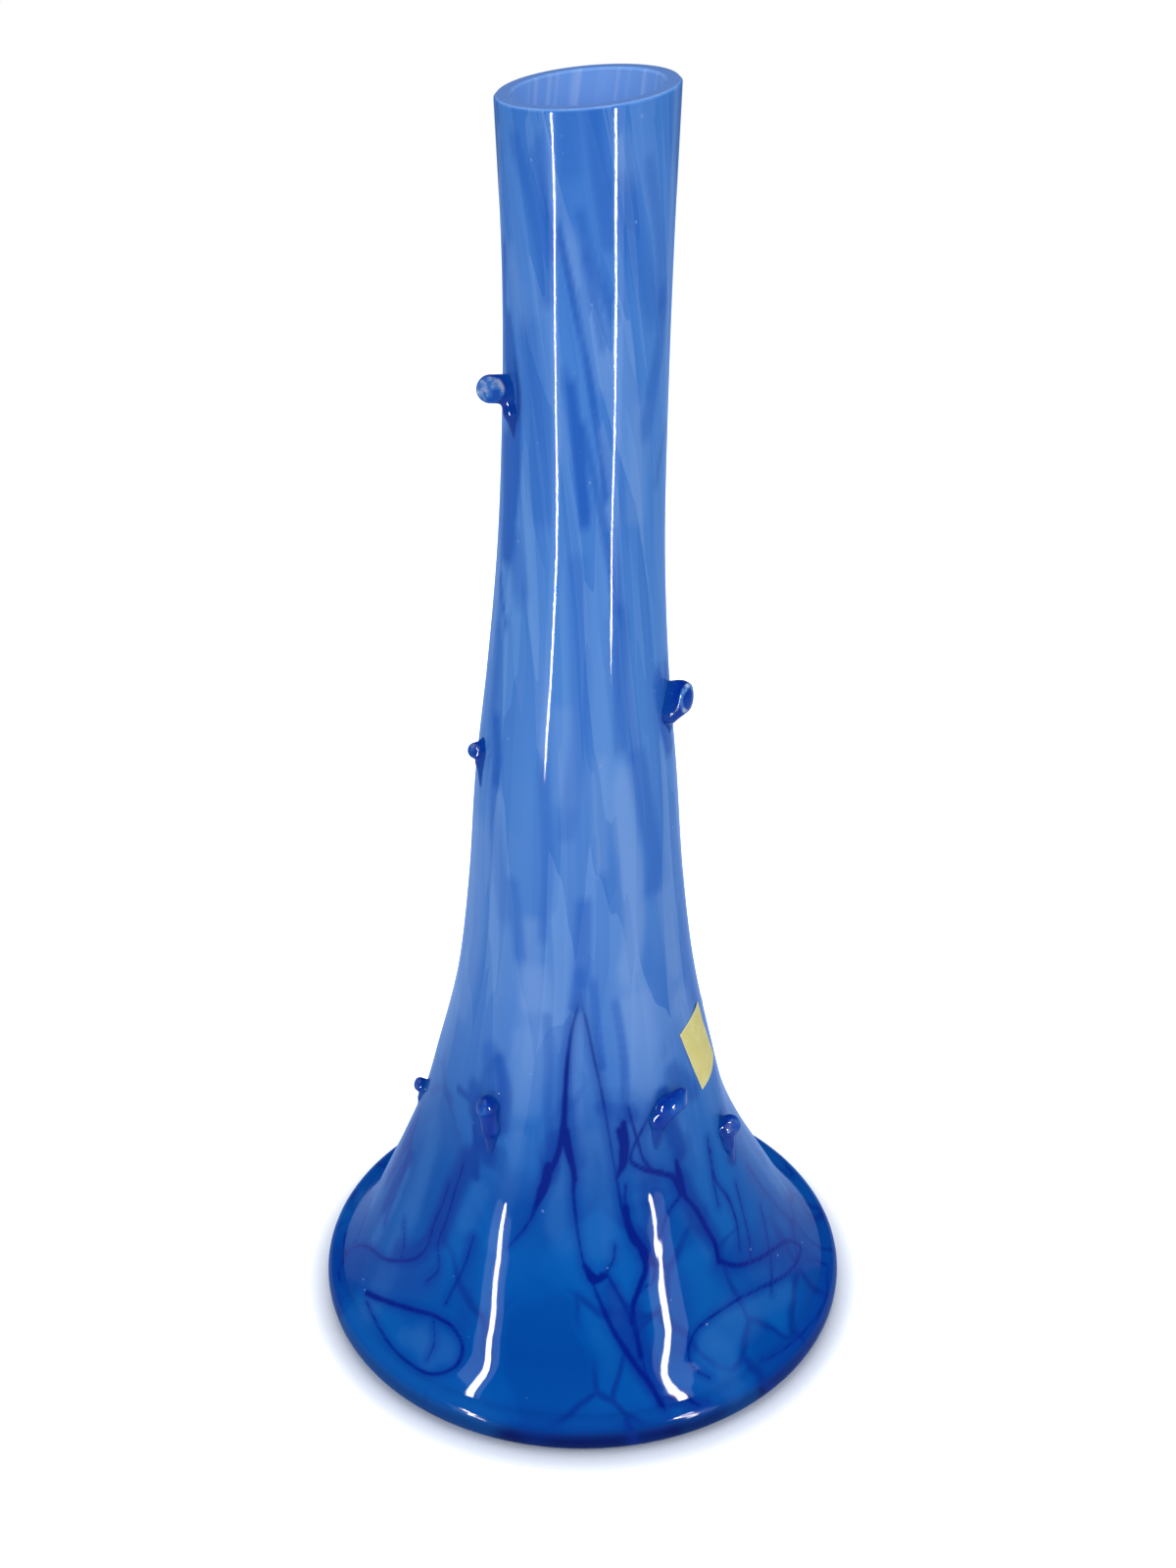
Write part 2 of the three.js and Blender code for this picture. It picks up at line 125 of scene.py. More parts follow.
# The outline's rows on the skirt, on the trunk above it and down the inside, its steps along each round
# part and its points along each flat one, and where the dome under the foot bends as a share of its radius
SKIRT_TOP = 112.0
SKIRT_ROWS, TRUNK_ROWS, INSIDE_ROWS = 92, 70, 24
HOLLOW_STEPS, DOME_STEPS, EDGE_STEPS, BEND_STEPS, CORNER_STEPS = 5, 6, 9, 20, 7
FLAT_POINTS = 4
DOME_BEND = 0.7

# The paper label. Its corner comes loose between two shares of the way from its middle to that corner, and
# the cockles are waves with these turns in radians across it and along it.
LABEL_WIDTH = 13.5
LABEL_LENGTH = 19.5
LABEL_THICKNESS = 0.12
LABEL_HEIGHT = 88.5
LABEL_AZIMUTH = 67.0
LABEL_TURN = 10.0
LABEL_LIFT = 0.22
LABEL_LOOSE = (0.55, 1.0)
LABEL_COCKLE = 0.03
COCKLE_ACROSS, COCKLE_ALONG, COCKLE_CROSSED = 9.0, 5.0, 11.0
GLUE_THICKNESS = 0.08
LABEL_COLUMNS, LABEL_ROWS = 27, 39

# Strokes on the wall: how close their points are, how soft a streak's edge is, how far out a stroke is
# felt, the distance given to points beyond that, how far outside a vein its depth is still told, the
# least half width of a vein in columns of the wall, the most that this asks for in millimetres, and how
# many points are measured at once
VEIN_SPACING = 0.25
STREAK_SPACING = 1.5
STREAK_SOFTNESS = 1.1
STROKE_REACH = 12.0
FAR_FROM_STROKE = 99.0
VEIN_REACH = 6.0
VEIN_COLUMNS = 1.15
THIN_VEIN = 0.55
POINTS_AT_ONCE = 4000

# How the strokes are mirrored, stretched and raised for the back
BACK_TURN = 194.0
BACK_STRETCH = 1.03
BACK_RISE = 2.0
BACK_RISE_START = 30.0

# The neck was twisted as it was drawn. The twist sets in at the one height and reaches this many degrees a
# millimetre at the other.
TWIST = 0.5
TWIST_START = 130.0
TWIST_FULL = 290.0
TWIST_STEPS = 300

# The knobs. Each was drawn from the wall as three runs of hot glass that melted together: the head, the
# body under it and the tail that trails down. A run goes from a start to an end (to the right, up the
# wall and out of it) and has a radius at each. Then follow how softly the runs melt together, which way
# the sheared face looks, how far it lies from the middle of the head's end as a share of the radius there,
# how strong the painted reflection on that face is, and how strong a swelling of the wall runs down below
# the knob.
KNOBS = {
    "neck_hook_left": dict(
        height=0.804, azimuth=-66,
        head=((0, 0, -1), (0, 0.4, 4.3), 3.4, 3.3),
        body=((1.0, -1.5, -0.5), (2.4, -5.0, -0.4), 2.7, 2.1),
        tail=((2.4, -5, -0.4), (3.2, -10.5, -0.9), 2.1, 1.0),
        melt=1.8, shear=(0.9, 0.1, 0.4), shear_depth=0.45, glint=0.6, swell=0,
    ),
    "trunk_stub_right": dict(
        height=0.564, azimuth=77,
        head=((-3.0, -2.2, 0.2), (0, 0.5, 3.0), 3.3, 4.1),
        body=((0, 0.3, -1), (0, 0.3, 2), 4.2, 4.0),
        tail=((-2.4, -3, -0.2), (-1.6, -8.5, -0.8), 2.3, 1.0),
        melt=1.8, shear=(-0.3, 0, 0.95), shear_depth=0.5, glint=1.0, swell=0,
    ),
    "trunk_bud_left": dict(
        height=0.523, azimuth=-72,
        head=((0, 0, -0.6), (0, 0.3, 1.8), 2.5, 2.1),
        body=((0, 2.2, -0.9), (0, -3, -0.4), 1.8, 1.6),
        tail=((0, -3, -0.4), (0.8, -9, -0.9), 1.6, 1.1),
        melt=2.2, shear=(0.6, 0.2, 0.7), shear_depth=0.6, glint=0.2, swell=0,
    ),
    "foot_thorn_back_left": dict(
        height=0.182, azimuth=-96,
        head=((0, 0.4, -0.3), (0, 0.6, 1.5), 2.2, 2.0),
        body=((0, -1, -0.4), (0, -3.5, -0.5), 1.8, 1.2),
        tail=((0, -3.5, -0.5), (0, -6.5, -0.9), 1.2, 0.9),
        melt=1.2, shear=(0.5, 0.2, 0.8), shear_depth=0.55, glint=0.1, swell=0.7,
    ),
    "foot_curl_front_left": dict(
        height=0.242, azimuth=-34.5,
        head=((-0.4, 1.4, 0.2), (-0.2, 1.9, 2.3), 2.9, 2.6),
        body=((-0.2, 1.4, 1.2), (0.9, -4.5, 0.4), 2.7, 2.2),
        tail=((0.9, -4.5, 0.4), (1.0, -12.0, -0.6), 2.2, 0.9),
        melt=1.4, shear=(-0.4, 0.3, 0.8), shear_depth=0.6, glint=0.08, swell=1,
    ),
    "foot_curl_front_right": dict(
        height=0.241, azimuth=38,
        head=((-1.0, 1.0, 1.2), (3.4, 2.1, 2.5), 3.0, 2.6),
        body=((-3.2, -2.2, 0.2), (-0.5, 1.2, 1.4), 2.6, 3.0),
        tail=((-3.2, -2.2, 0.2), (-4.4, -10, -0.7), 2.2, 1.0),
        melt=1.4, shear=(0.5, -0.1, 0.8), shear_depth=0.6, glint=0.12, swell=0.85,
    ),
    "foot_bud_right": dict(
        height=0.186, azimuth=67,
        head=((0.4, 1.0, 0), (0.6, 1.6, 2.2), 3.1, 2.9),
        body=((0, 0, 0.4), (-0.3, -4, -0.2), 2.7, 2.0),
        tail=((-0.3, -4, -0.2), (0.2, -9.5, -0.8), 2.0, 0.9),
        melt=1.4, shear=(-0.6, 0, 0.7), shear_depth=0.6, glint=0.12, swell=1,
    ),
    "foot_bud_back_right": dict(
        height=0.224, azimuth=128,
        head=((-0.3, 0.6, 0.2), (-0.6, 1.3, 3.0), 3.0, 2.8),
        body=((0, 0, 0.3), (0.4, -4.5, -0.2), 2.7, 1.9),
        tail=((0.4, -4.5, -0.2), (0.8, -10, -0.8), 1.9, 0.9),
        melt=1.5, shear=(-0.5, 0.1, 0.8), shear_depth=0.55, glint=0.2, swell=0.9,
    ),
    "foot_bud_back_left": dict(
        height=0.21, azimuth=-158,
        head=((0.3, 0.6, 0.2), (0.6, 1.3, 3.0), 3.0, 2.8),
        body=((0, 0, 0.3), (-0.4, -4.5, -0.2), 2.7, 1.9),
        tail=((-0.4, -4.5, -0.2), (-0.8, -10, -0.8), 1.9, 0.9),
        melt=1.5, shear=(0.5, 0.1, 0.8), shear_depth=0.55, glint=0.2, swell=0.9,
    ),
}

# Dark veins between the chips, seen from the front: half width at the start, middle and end, then the
# places that each runs through (azimuth, height)
VEINS = [
    ((0.5, 0.6, 1.2), [(31.8, 81.9), (26.9, 77.2), (23.1, 73.1), (20.7, 68.8), (25.9, 65.2),
        (31.9, 63.1)]),
    ((1.2, 0.5, 1.0), [(-4.2, 76.7), (-2.7, 72.6), (-0.9, 68.5), (-0.4, 64.7)]),
    ((1.5, 1.7, 0.6), [(-10.2, 68.1), (-11.1, 64), (-12.9, 59.5), (-15, 55.3)]),
    ((1.2, 1.4, 0.6), [(17.1, 77.5), (18.3, 72.8), (18.3, 68.1), (15.2, 64.4)]),
    ((0.5, 1.2, 0.9), [(18.1, 62.3), (17, 55.1), (18.5, 50.3), (20.7, 44.6), (21.1, 40.5), (18.4, 36.6),
        (15.6, 32.7), (14.3, 28.3)]),
    ((0.9, 1.7, 0.8), [(2.5, 42.8), (5.4, 39.4), (9, 40.1)]),
    ((0.5, 0.5, 0.4), [(9.2, 40.3), (11.4, 35.6), (13.7, 29.9), (14.7, 23.6), (15.6, 17.5),
        (16.6, 13.2)]),
    ((0.5, 0.8, 0.5), [(56.3, 61.2), (54.5, 53.3), (57.3, 46.2), (57.1, 40.5), (53.5, 33.1)]),
    ((0.4, 0.5, 0.4), [(75.9, 45.7), (80, 32), (83.5, 20.1)]),
    ((0.5, 1.0, 0.8), [(18.3, 11), (21.7, 10.5), (25.3, 9)]),
    ((0.4, 0.4, 0.3), [(18.3, 11), (17.7, 9.3)]),
    ((0.45, 1.2, 0.4), [(2.3, 114.7), (-1, 108.4), (-3.5, 99), (-4.4, 88.7), (-5.1, 78.3), (-7.3, 70.8),
        (-10.5, 64.4), (-12.8, 58.6), (-17.6, 50.3), (-21.5, 45.9)]),
    ((0.4, 0.6, 0.5), [(2.3, 114.7), (5.6, 106.2), (7.8, 98.8), (10.3, 90.4), (11.7, 84.1)]),
    ((1.7, 0.8, 0.5), [(-4.6, 78.3), (-2.6, 72), (-0.9, 66.8), (-0.9, 60.7), (-0.1, 54.8), (1.1, 48.2),
        (2, 44.1)]),
    ((0.5, 1.0, 1.1), [(2, 44.1), (4.4, 39), (6.7, 33.1), (9, 27.2), (11.7, 22), (13.8, 18), (16.2, 14),
        (17.7, 9.6)]),
    ((1.1, 1.7, 0.6), [(19, 79.3), (18.8, 72.9), (16.8, 66.8), (14.8, 63.9)]),
    ((0.4, 0.45, 0.8), [(11.7, 84.1), (13.1, 75.6), (14.1, 69.2), (15, 63.8), (15.7, 57.7),
        (16.7, 52.7)]),
    ((1.1, 1.6, 0.8), [(17.3, 56.5), (17.5, 51.7), (18.8, 48.2), (21.8, 44.3), (23.8, 40.2)]),
    ((0.45, 0.7, 1.3), [(21.5, 83.1), (24.1, 73.3), (26, 67.6), (29.4, 63.8), (35.7, 61.2),
        (38.3, 56.2)]),
    ((0.9, 1.6, 1.1), [(38.6, 64.7), (39, 58.1), (39.3, 54.3)]),
    ((0.8, 0.5, 0.6), [(38, 55.3), (32.6, 52.7), (28.7, 48.7), (25.9, 43.5)]),
    ((1.1, 1.1, 1.1), [(39.3, 54.3), (42.5, 49.5), (44.2, 44.1), (45.6, 38.9), (44.5, 34.3)]),
    ((0.5, 0.7, 0.5), [(3.1, 42.2), (5.2, 39.9), (8.7, 41), (10.1, 38.6), (12.3, 34.8), (14.8, 31)]),
    ((0.5, 0.4, 0.4), [(8.7, 41), (11.3, 43.5), (12.4, 47.1)]),
    ((0.8, 0.5, 0.4), [(14.8, 30.9), (16.5, 34.2), (19.1, 35.6), (22.3, 36.8), (23.8, 40.2)]),
    ((0.6, 0.8, 1.1), [(15.7, 32.5), (15.2, 29), (15.1, 25.5), (15.1, 20.3)]),
    ((0.4, 0.4, 0.2), [(-78.4, 44.5), (-76.2, 37.2), (-75.2, 31.8), (-73.6, 28.1)]),
    ((0.3, 0.5, 0.3), [(-44.4, 62.5), (-45.6, 53.4), (-45.7, 45), (-46.3, 38.5), (-43.4, 33.2),
        (-46.2, 28.3)]),
    ((0.3, 0.5, 0.6), [(-33.7, 45.5), (-35.1, 36.1), (-36.8, 30.6), (-38, 26.2)]),
    ((0.2, 0.35, 0.3), [(-64.4, 35.3), (-60.1, 31.3), (-58.8, 27.7)]),
    ((0.4, 0.8, 0.5), [(-74.8, 9.4), (-79.9, 9.5), (-83.5, 10.3), (-80.7, 15.5), (-73.4, 20.3),
        (-66.3, 22.9), (-58.8, 27.1), (-52.6, 31.7), (-50.1, 36.2), (-50.6, 41.6), (-49.6, 47.4),
        (-49.4, 53.9)]),
    ((1.1, 0.8, 0.6), [(-65.3, 13.5), (-56.2, 17.1), (-47.4, 20.2), (-39.2, 22.2), (-33.8, 21.7),
        (-30.3, 18.9), (-30.1, 15.1), (-32.6, 12.2), (-36.1, 10.4), (-41.6, 10), (-49.1, 10.4),
        (-57, 11.6), (-63.7, 12.5)]),
    ((0.3, 0.4, 0.3), [(-40.2, 20.9), (-38.1, 16.7), (-38.3, 12.4)]),
    ((1.0, 0.8, 0.6), [(44.7, 34.7), (49.2, 31.3), (57.2, 28.2), (67.9, 25), (76.4, 20.7), (78.9, 17),
        (72.4, 16.9), (63.5, 19.1), (53.9, 22.1), (45.2, 23.8), (37, 23.7), (30.9, 22.3), (27.6, 19.3),
        (27.1, 15.3), (30.2, 11.8)]),
    ((0.5, 0.4, 0.5), [(77.6, 13.8), (80.8, 9.6), (76.4, 9.2), (69.7, 8.5), (61.3, 8.9), (52.8, 9.3),
        (44.3, 9.6)]),
    ((0.3, 0.35, 0.2), [(63.2, 47.8), (61.1, 39.8), (58.4, 32.4), (56.1, 29.3)]),
    ((0.3, 0.3, 0.2), [(71.1, 36), (66.4, 28.5), (61, 21.9), (57.4, 18.9)]),
    ((0.3, 0.5, 0.3), [(56.3, 64.6), (54.6, 58.6), (53.2, 52.6), (52.1, 46.5)]),
    ((0.2, 0.4, 0.2), [(72.4, 258.3), (63.3, 251.9), (58, 245.8)]),
    ((0.6, 1.3, 0.4), [(-54.8, 275), (-50.6, 269.1), (-51.2, 263.5), (-55.8, 259.1)]),
]

# Soft streaks of deeper blue: half width, strength, places
SHADES = [
    (0.9, 0.7, [(-69.1, 220.7), (-61.7, 214.7), (-54.8, 210.4)]),
    (0.9, 0.7, [(-18.4, 306.9), (-9.8, 293.2), (1.8, 274.4), (14.9, 246.5)]),
    (1.3, 0.5, [(19.2, 112.5), (21, 102.8), (21.3, 92.4), (20.6, 84.3), (21.1, 80.1)]),
    (1.2, 0.5, [(8.3, 119.8), (9, 113.4), (9.9, 107), (11.5, 95.5)]),
    (1.4, 0.4, [(-13.4, 109), (-11.9, 98.7), (-11.5, 86.4), (-9.9, 75), (-7.9, 67.6)]),
    (2.6, 0.9, [(-70.8, 278), (-61.4, 272), (-56.8, 263.7), (-60.1, 253.5)]),
    (2.4, 0.9, [(60.1, 196.4), (61.3, 190), (65.9, 182.3)]),
    (1.6, 0.8, [(67.7, 65.9), (66, 58.9), (67.5, 53.2)]),
    (3, 0.7, [(-44.9, 83.4), (-40.1, 77.2), (-33.9, 67.6)]),
    (2, 0.6, [(-33.8, 94.9), (-29.5, 88), (-29, 77.4)]),
    (2.6, 0.7, [(36.7, 84.1), (38.2, 75.3), (41, 66.3)]),
    (1.8, 0.7, [(-58.5, 185.3), (-52.9, 177), (-52.2, 169.2)]),
    (4.2, 0.75, [(-47.7, 41.2), (-47, 46), (-46.3, 53.6), (-43.1, 63.4)]),
    (3.2, 0.6, [(-61.1, 28.5), (-51.8, 33.8), (-48.4, 40.4)]),
    (2.6, 0.75, [(-78.8, 30.7), (-79.9, 38.7), (-78.3, 47.3)]),
    (3.4, 0.6, [(38.4, 58.6), (41.5, 51.1), (45.3, 40.6)]),
    (4.5, 0.5, [(45.4, 33.5), (55.2, 32.1), (69.4, 22.9)]),
    (3, 0.6, [(12.6, 26.2), (14.7, 19.1), (16.8, 13.9)]),
    (3.2, 0.55, [(26.9, 60.5), (26.3, 51.9), (23.3, 44.1)]),
    (2.4, 0.6, [(9.7, 36.6), (11, 30.2), (12.5, 25.5)]),
    (5, 0.3, [(-20.4, 60.9), (-21.6, 53.8)]),
    (3.6, 0.85, [(-68.2, 254.4), (-62.6, 242.4), (-62.8, 229.4)]),
    (2, 0.8, [(-55.2, 264.3), (-52.6, 254.7), (-56.3, 240.5)]),
    (1.3, 0.7, [(-9.4, 272.8), (-4.1, 258.5), (1.3, 240.1)]),
    (1.1, 0.6, [(-1.7, 262.2), (8, 248.7), (19.9, 227), (23.2, 217.8)]),
    (2, 0.75, [(72.8, 197.2), (74.5, 189.9), (65.3, 183.2)]),
    (3, 0.35, [(25.1, 215.1), (27.8, 199.1), (33.6, 182.4)]),
    (1.4, 0.45, [(-4.8, 311.1), (1, 301.2), (18.4, 287.4)]),
    (1.2, 0.4, [(-31, 327.8), (-26.6, 314), (-22.7, 300.9)]),
    (1.8, 0.8, [(-65.4, 284.7), (-59, 278.1), (-56, 266.4)]),
    (3.4, 0.45, [(-38.2, 95.8), (-32.9, 87), (-32.3, 76.7)]),
    (1.5, 0.7, [(-40.6, 73), (-37.6, 60.7)]),
    (1.3, 0.8, [(-56, 79.3), (-48.1, 80.1), (-41.8, 81.4)]),
    (2, 0.6, [(1.8, 120), (-0.1, 112.6)]),
    (3, 0.5, [(44.2, 88.8), (53.8, 80.1)]),
    (1.6, 0.6, [(36.8, 84.7), (33.3, 78.2)]),
    (2.2, 0.8, [(75.3, 57.6), (66.1, 54.4)]),
    (2.4, 0.5, [(11.4, 84.1), (22.8, 80.9)]),
    (2.2, 0.7, [(-8.2, 76.1), (-9.9, 65.4)]),
    (3, 0.6, [(15.3, 30.8), (15.9, 21), (17.4, 14.9)]),
    (2, 0.7, [(17.9, 10.3), (26.7, 8.8)]),
    (2.5, 0.4, [(-3.7, 85.6), (0.5, 69.9)]),
    (5, 0.35, [(-80.9, 10.9), (-63.1, 19.3), (-47, 30)]),
    (5, 0.3, [(47.7, 27.6), (65.3, 22.3), (80, 14.2)]),
    (3, 0.35, [(-33.8, 43.4), (-31.4, 24.9)]),
    (4, 0.35, [(21, 46.4), (29, 35.1), (26.6, 21)]),
    (3, 0.5, [(37.8, 178.2), (43.7, 161.7), (47.5, 146.7), (45.6, 141.2)]),
    (2.2, 0.55, [(4.1, 140.1), (2.9, 120.3)]),
    (2.4, 0.3, [(-65.4, 208.1), (-61.5, 181.7), (-49.8, 155.9), (-40.2, 133.7)]),
    (2.8, 0.95, [(76.4, 193.8), (65.8, 186.5), (70.2, 176.4)]),
    (1, 0.8, [(-71.5, 174.2), (-69.8, 166.1)]),
    (1.4, 0.4, [(18.5, 238.2), (23.5, 227.1), (26.9, 215.9)]),
    (2.8, 0.4, [(-52.9, 233.8), (-44.2, 220.2)]),
    (2.4, 0.3, [(-3.1, 230.2), (1.8, 187.5), (-5, 160.7)]),
    (1.6, 0.35, [(-19.8, 178), (-15, 151), (-17.1, 132)]),
    (2, 0.4, [(-35.8, 144), (-29.2, 124.9)]),
    (2, 0.3, [(26.9, 215.9), (26.6, 182.9)]),
    (1.4, 0.45, [(-13.5, 274.2), (-5.9, 258.7), (1.9, 242.7)]),
    (2, 0.4, [(-49.6, 325.7), (-39.3, 316.3), (-30.1, 303.7), (-25.5, 292)]),
    (1.2, 0.4, [(-35.8, 324.8), (-27.2, 312.4), (-20.8, 302.5)]),
    (2, 0.4, [(2.6, 332.3), (6.8, 318.4), (13.5, 304.1)]),
    (3.4, 0.35, [(22, 316), (32.6, 303.5), (49.3, 287.7)]),
    (2, 0.35, [(42, 318.9), (54.6, 302.3), (62.2, 286.8)]),
    (2.2, 0.45, [(61.5, 289.9), (58.7, 279.4), (49.9, 267.6), (45.3, 260.8)]),
    (1.8, 0.8, [(-71.4, 299.8), (-72.9, 287.5), (-67.4, 274.8)]),
    (3.2, 0.3, [(-41.4, 284.5), (-32.4, 265.7), (-28.2, 241.7)]),
    (1, 0.4, [(-2.5, 302.8), (5.4, 289.5), (10.1, 281.9)]),
    (2.4, 0.3, [(-11.8, 333.5), (-9.6, 319.8)]),
]

# Soft streaks of paler opal blue: half width, strength, places. The streaks past about 85 degrees to
# either side lie along the outline and are painted reflection: the pale sheen of glass that turns away.
MILKS_AND_SHEENS = [
    # Painted reflection on the foot's far left and far right
    (2.4, 0.7, [(-90.7, 22.1), (-91.7, 31.1), (-90.3, 40.5)]),
    (2.2, 0.7, [(105.2, 30.2), (97.8, 28.5), (97.3, 22.5)]),
    (4, 0.35, [(-8.6, 61.1), (-5.9, 54.4), (-3.6, 49.6)]),
    (3.2, 0.4, [(-65.8, 56.2), (-64.7, 47.8), (-62.8, 38)]),
    (3.4, 0.35, [(41.9, 22.9), (52.5, 19.1), (62.9, 15.9)]),
    (3.5, 0.45, [(33.2, 18.5), (36.1, 14.4), (35.5, 11.8)]),
    (2.5, 0.35, [(-46.7, 14), (-40.3, 14.8), (-37.8, 12.2)]),
    (3, 0.3, [(40.2, 51.6), (42.5, 43.6), (43.7, 37.8)]),
    (4, 0.5, [(-20.1, 84.7), (-16.8, 105.6), (-19.8, 119)]),
    (5, 0.6, [(29.1, 111.1), (30.7, 99.1), (30.8, 90)]),
    (6, 0.4, [(-81.9, 96), (-81.4, 79.1), (-76.4, 59.3)]),
    # Painted reflection on the foot's far left and far right
    (4.5, 0.5, [(-98.1, 56.9), (-101.5, 35.9), (-104.9, 12.5)]),
    (2.6, 0.8, [(88.1, 46), (90, 36.6), (91.6, 26.9)]),
    (2.4, 0.4, [(-4.5, 72), (-6, 62.6), (-6.8, 51.8)]),
    (4.2, 0.3, [(6.7, 74), (7, 57.5), (5.5, 48.1)]),
    (2.4, 0.3, [(23, 57.7), (24.5, 50.6)]),
    (4, 0.25, [(48.2, 64.5), (48.6, 52.3)]),
    (4, 0.4, [(-41.6, 16.1), (-33.8, 16.3)]),
    (5, 0.4, [(37.3, 19.3), (46.1, 18.5)]),
    (3.5, 0.3, [(28.3, 14.5), (33.7, 9.2)]),
    (2.2, 0.5, [(-22, 75.1), (-23.8, 59.9), (-26.5, 45.4)]),
    (3, 0.4, [(-35, 57.4), (-38.4, 47.9)]),
    (4.5, 0.5, [(59.9, 103.8), (65.9, 85.6), (66.1, 70.6)]),
    (1.8, 0.4, [(10.8, 35.9), (11.4, 29.5)]),
    (2.6, 0.3, [(11, 57.2), (11.1, 45.8)]),
    (3, 0.35, [(-66, 52.7), (-60.6, 39.8)]),
    (3, 0.3, [(-23.9, 102.6), (-23.9, 84.4)]),
    (3.2, 0.65, [(28.7, 173.8), (28.1, 162.9), (31.6, 149.3), (31.6, 130.1), (26.9, 120.2)]),
    (5, 0.4, [(-67.6, 152.1), (-64.4, 123), (-68.2, 101.3)]),
    (3, 0.45, [(-23.6, 133.3), (-21, 112.6)]),
    (3, 0.35, [(54.9, 137.3), (58.2, 114.5)]),
    (3, 0.3, [(-8.6, 190.9), (-5.3, 169.8)]),
    (2, 0.35, [(14, 178.4), (13.5, 151.1)]),
    # Painted reflection along the neck's left outline
    (1.6, 0.4, [(-90.4, 222.2), (-90.9, 194.8)]),
    (3, 0.3, [(-9.9, 304.2), (3.2, 289.5), (10.6, 274.3)]),
    (3, 0.3, [(41.6, 265), (37.9, 241.1)]),
    (1.4, 0.5, [(68.9, 333.1), (70.4, 308.7), (72.3, 278.2), (86.4, 235.8)]),
    (1.4, 0.4, [(-70.4, 326.7), (-77.1, 308.3)]),
    (2, 0.3, [(23.8, 325.1), (26.7, 316.6)]),
    (2.4, 0.35, [(-58.5, 299.2), (-47.8, 284.8)]),
]


def smooth_step(low, high, value):
    share = np.clip((np.asarray(value, float) - low) / (high - low), 0, 1)
    return share * share * (3 - 2 * share)


def blend(low, high, share):
    return low + (high - low) * share


def along_curve(knots, slopes, i, share, run):
    """The place on a smooth curve through the knots, at a share of the run from knot i to the next."""
    square, cube = share**2, share**3
    eased = blend(knots[i], knots[i + 1], 3 * square - 2 * cube)
    return eased + ((cube - 2 * square + share) * slopes[i] + (cube - square) * slopes[i + 1]) * run


# The trunk's radius runs through the bend, the flare places and the mouth on one smooth curve

def trunk_curve():
    flare = [(VASE_HEIGHT * up, blend(NECK_RADIUS, FOOT_RADIUS, out)) for up, out in FLARE_SHARES]
    heights, radii = np.array([(BEND_HEIGHT, BEND_RADIUS), *flare, (VASE_HEIGHT, MOUTH_RADIUS)]).T
    runs = np.diff(heights)
    grades = np.diff(radii) / runs
    inner = (grades[:-1] * runs[1:] + grades[1:] * runs[:-1]) / (runs[:-1] + runs[1:])
    return heights, radii, runs, np.concatenate([grades[:1], inner, grades[-1:]])


TRUNK_HEIGHTS, TRUNK_RADII, TRUNK_RUNS, TRUNK_SLOPES = trunk_curve()


def trunk_radius(height):
    height = np.asarray(height, float)
    i = np.clip(np.searchsorted(TRUNK_HEIGHTS, height) - 1, 0, len(TRUNK_RUNS) - 1)
    share = (height - TRUNK_HEIGHTS[i]) / TRUNK_RUNS[i]
    return along_curve(TRUNK_RADII, TRUNK_SLOPES, i, share, TRUNK_RUNS[i])


def wall_thickness(height):
    return blend(MOUTH_WALL, SKIRT_WALL, (1 - np.asarray(height) / VASE_HEIGHT) ** 3)


def lean_at(height):
    start, trunk, back, neck = (VASE_HEIGHT * share for share in LEAN_SHARES)
    leaning = smooth_step(start, trunk, height)
    returning = smooth_step(back, neck, height)
    return -TRUNK_LEAN * leaning + (TRUNK_LEAN + NECK_LEAN) * returning


def root_swell(height, azimuth):
    total = 0.0
    for knob in KNOBS.values():
        knob_height = knob["height"] * VASE_HEIGHT
        aside = (azimuth - knob["azimuth"] + 180) % 360 - 180
        rising = smooth_step(BEND_HEIGHT, knob_height, height)
        fading = 1 - smooth_step(knob_height, knob_height + SWELL_FADE_ABOVE, height)
        hump = np.exp(-0.5 * (aside / SWELL_DEGREES) ** 2)
        total = total + SWELL_HEIGHT * knob["swell"] * hump * rising * fading
    return total


def unevenness(height, azimuth):
    strength = smooth_step(WAVE_START_HEIGHT, WAVE_FULL_HEIGHT, height)
    turn = np.radians(2 * azimuth) + 2 * np.pi * height / WAVE_LENGTH
    return WAVE_HEIGHT * strength * np.sin(turn)


def place_on_trunk(radius, height, azimuth):
    turn = np.radians(azimuth)
    x = lean_at(height) + radius * np.sin(turn)
    y = -radius * np.cos(turn)
    cut_rise = (CUT_RISE_RIGHT * x + CUT_RISE_BACK * y) / (2 * MOUTH_RADIUS)
    cut_start = VASE_HEIGHT * CUT_FOLLOW_SHARE
    follow = np.maximum(0, (height - cut_start) / (VASE_HEIGHT - cut_start))
    return np.stack(np.broadcast_arrays(x, y, height + cut_rise * follow), -1)


def bowed(start, control, end, steps):
    """Points of a quadratic curve, as rows of radius and height."""
    share = np.linspace(0, 1, steps + 1)[:, None]
    start, control, end = np.array(start), np.array(control), np.array(end)
    return (1 - share) ** 2 * start + 2 * share * (1 - share) * control + share**2 * end


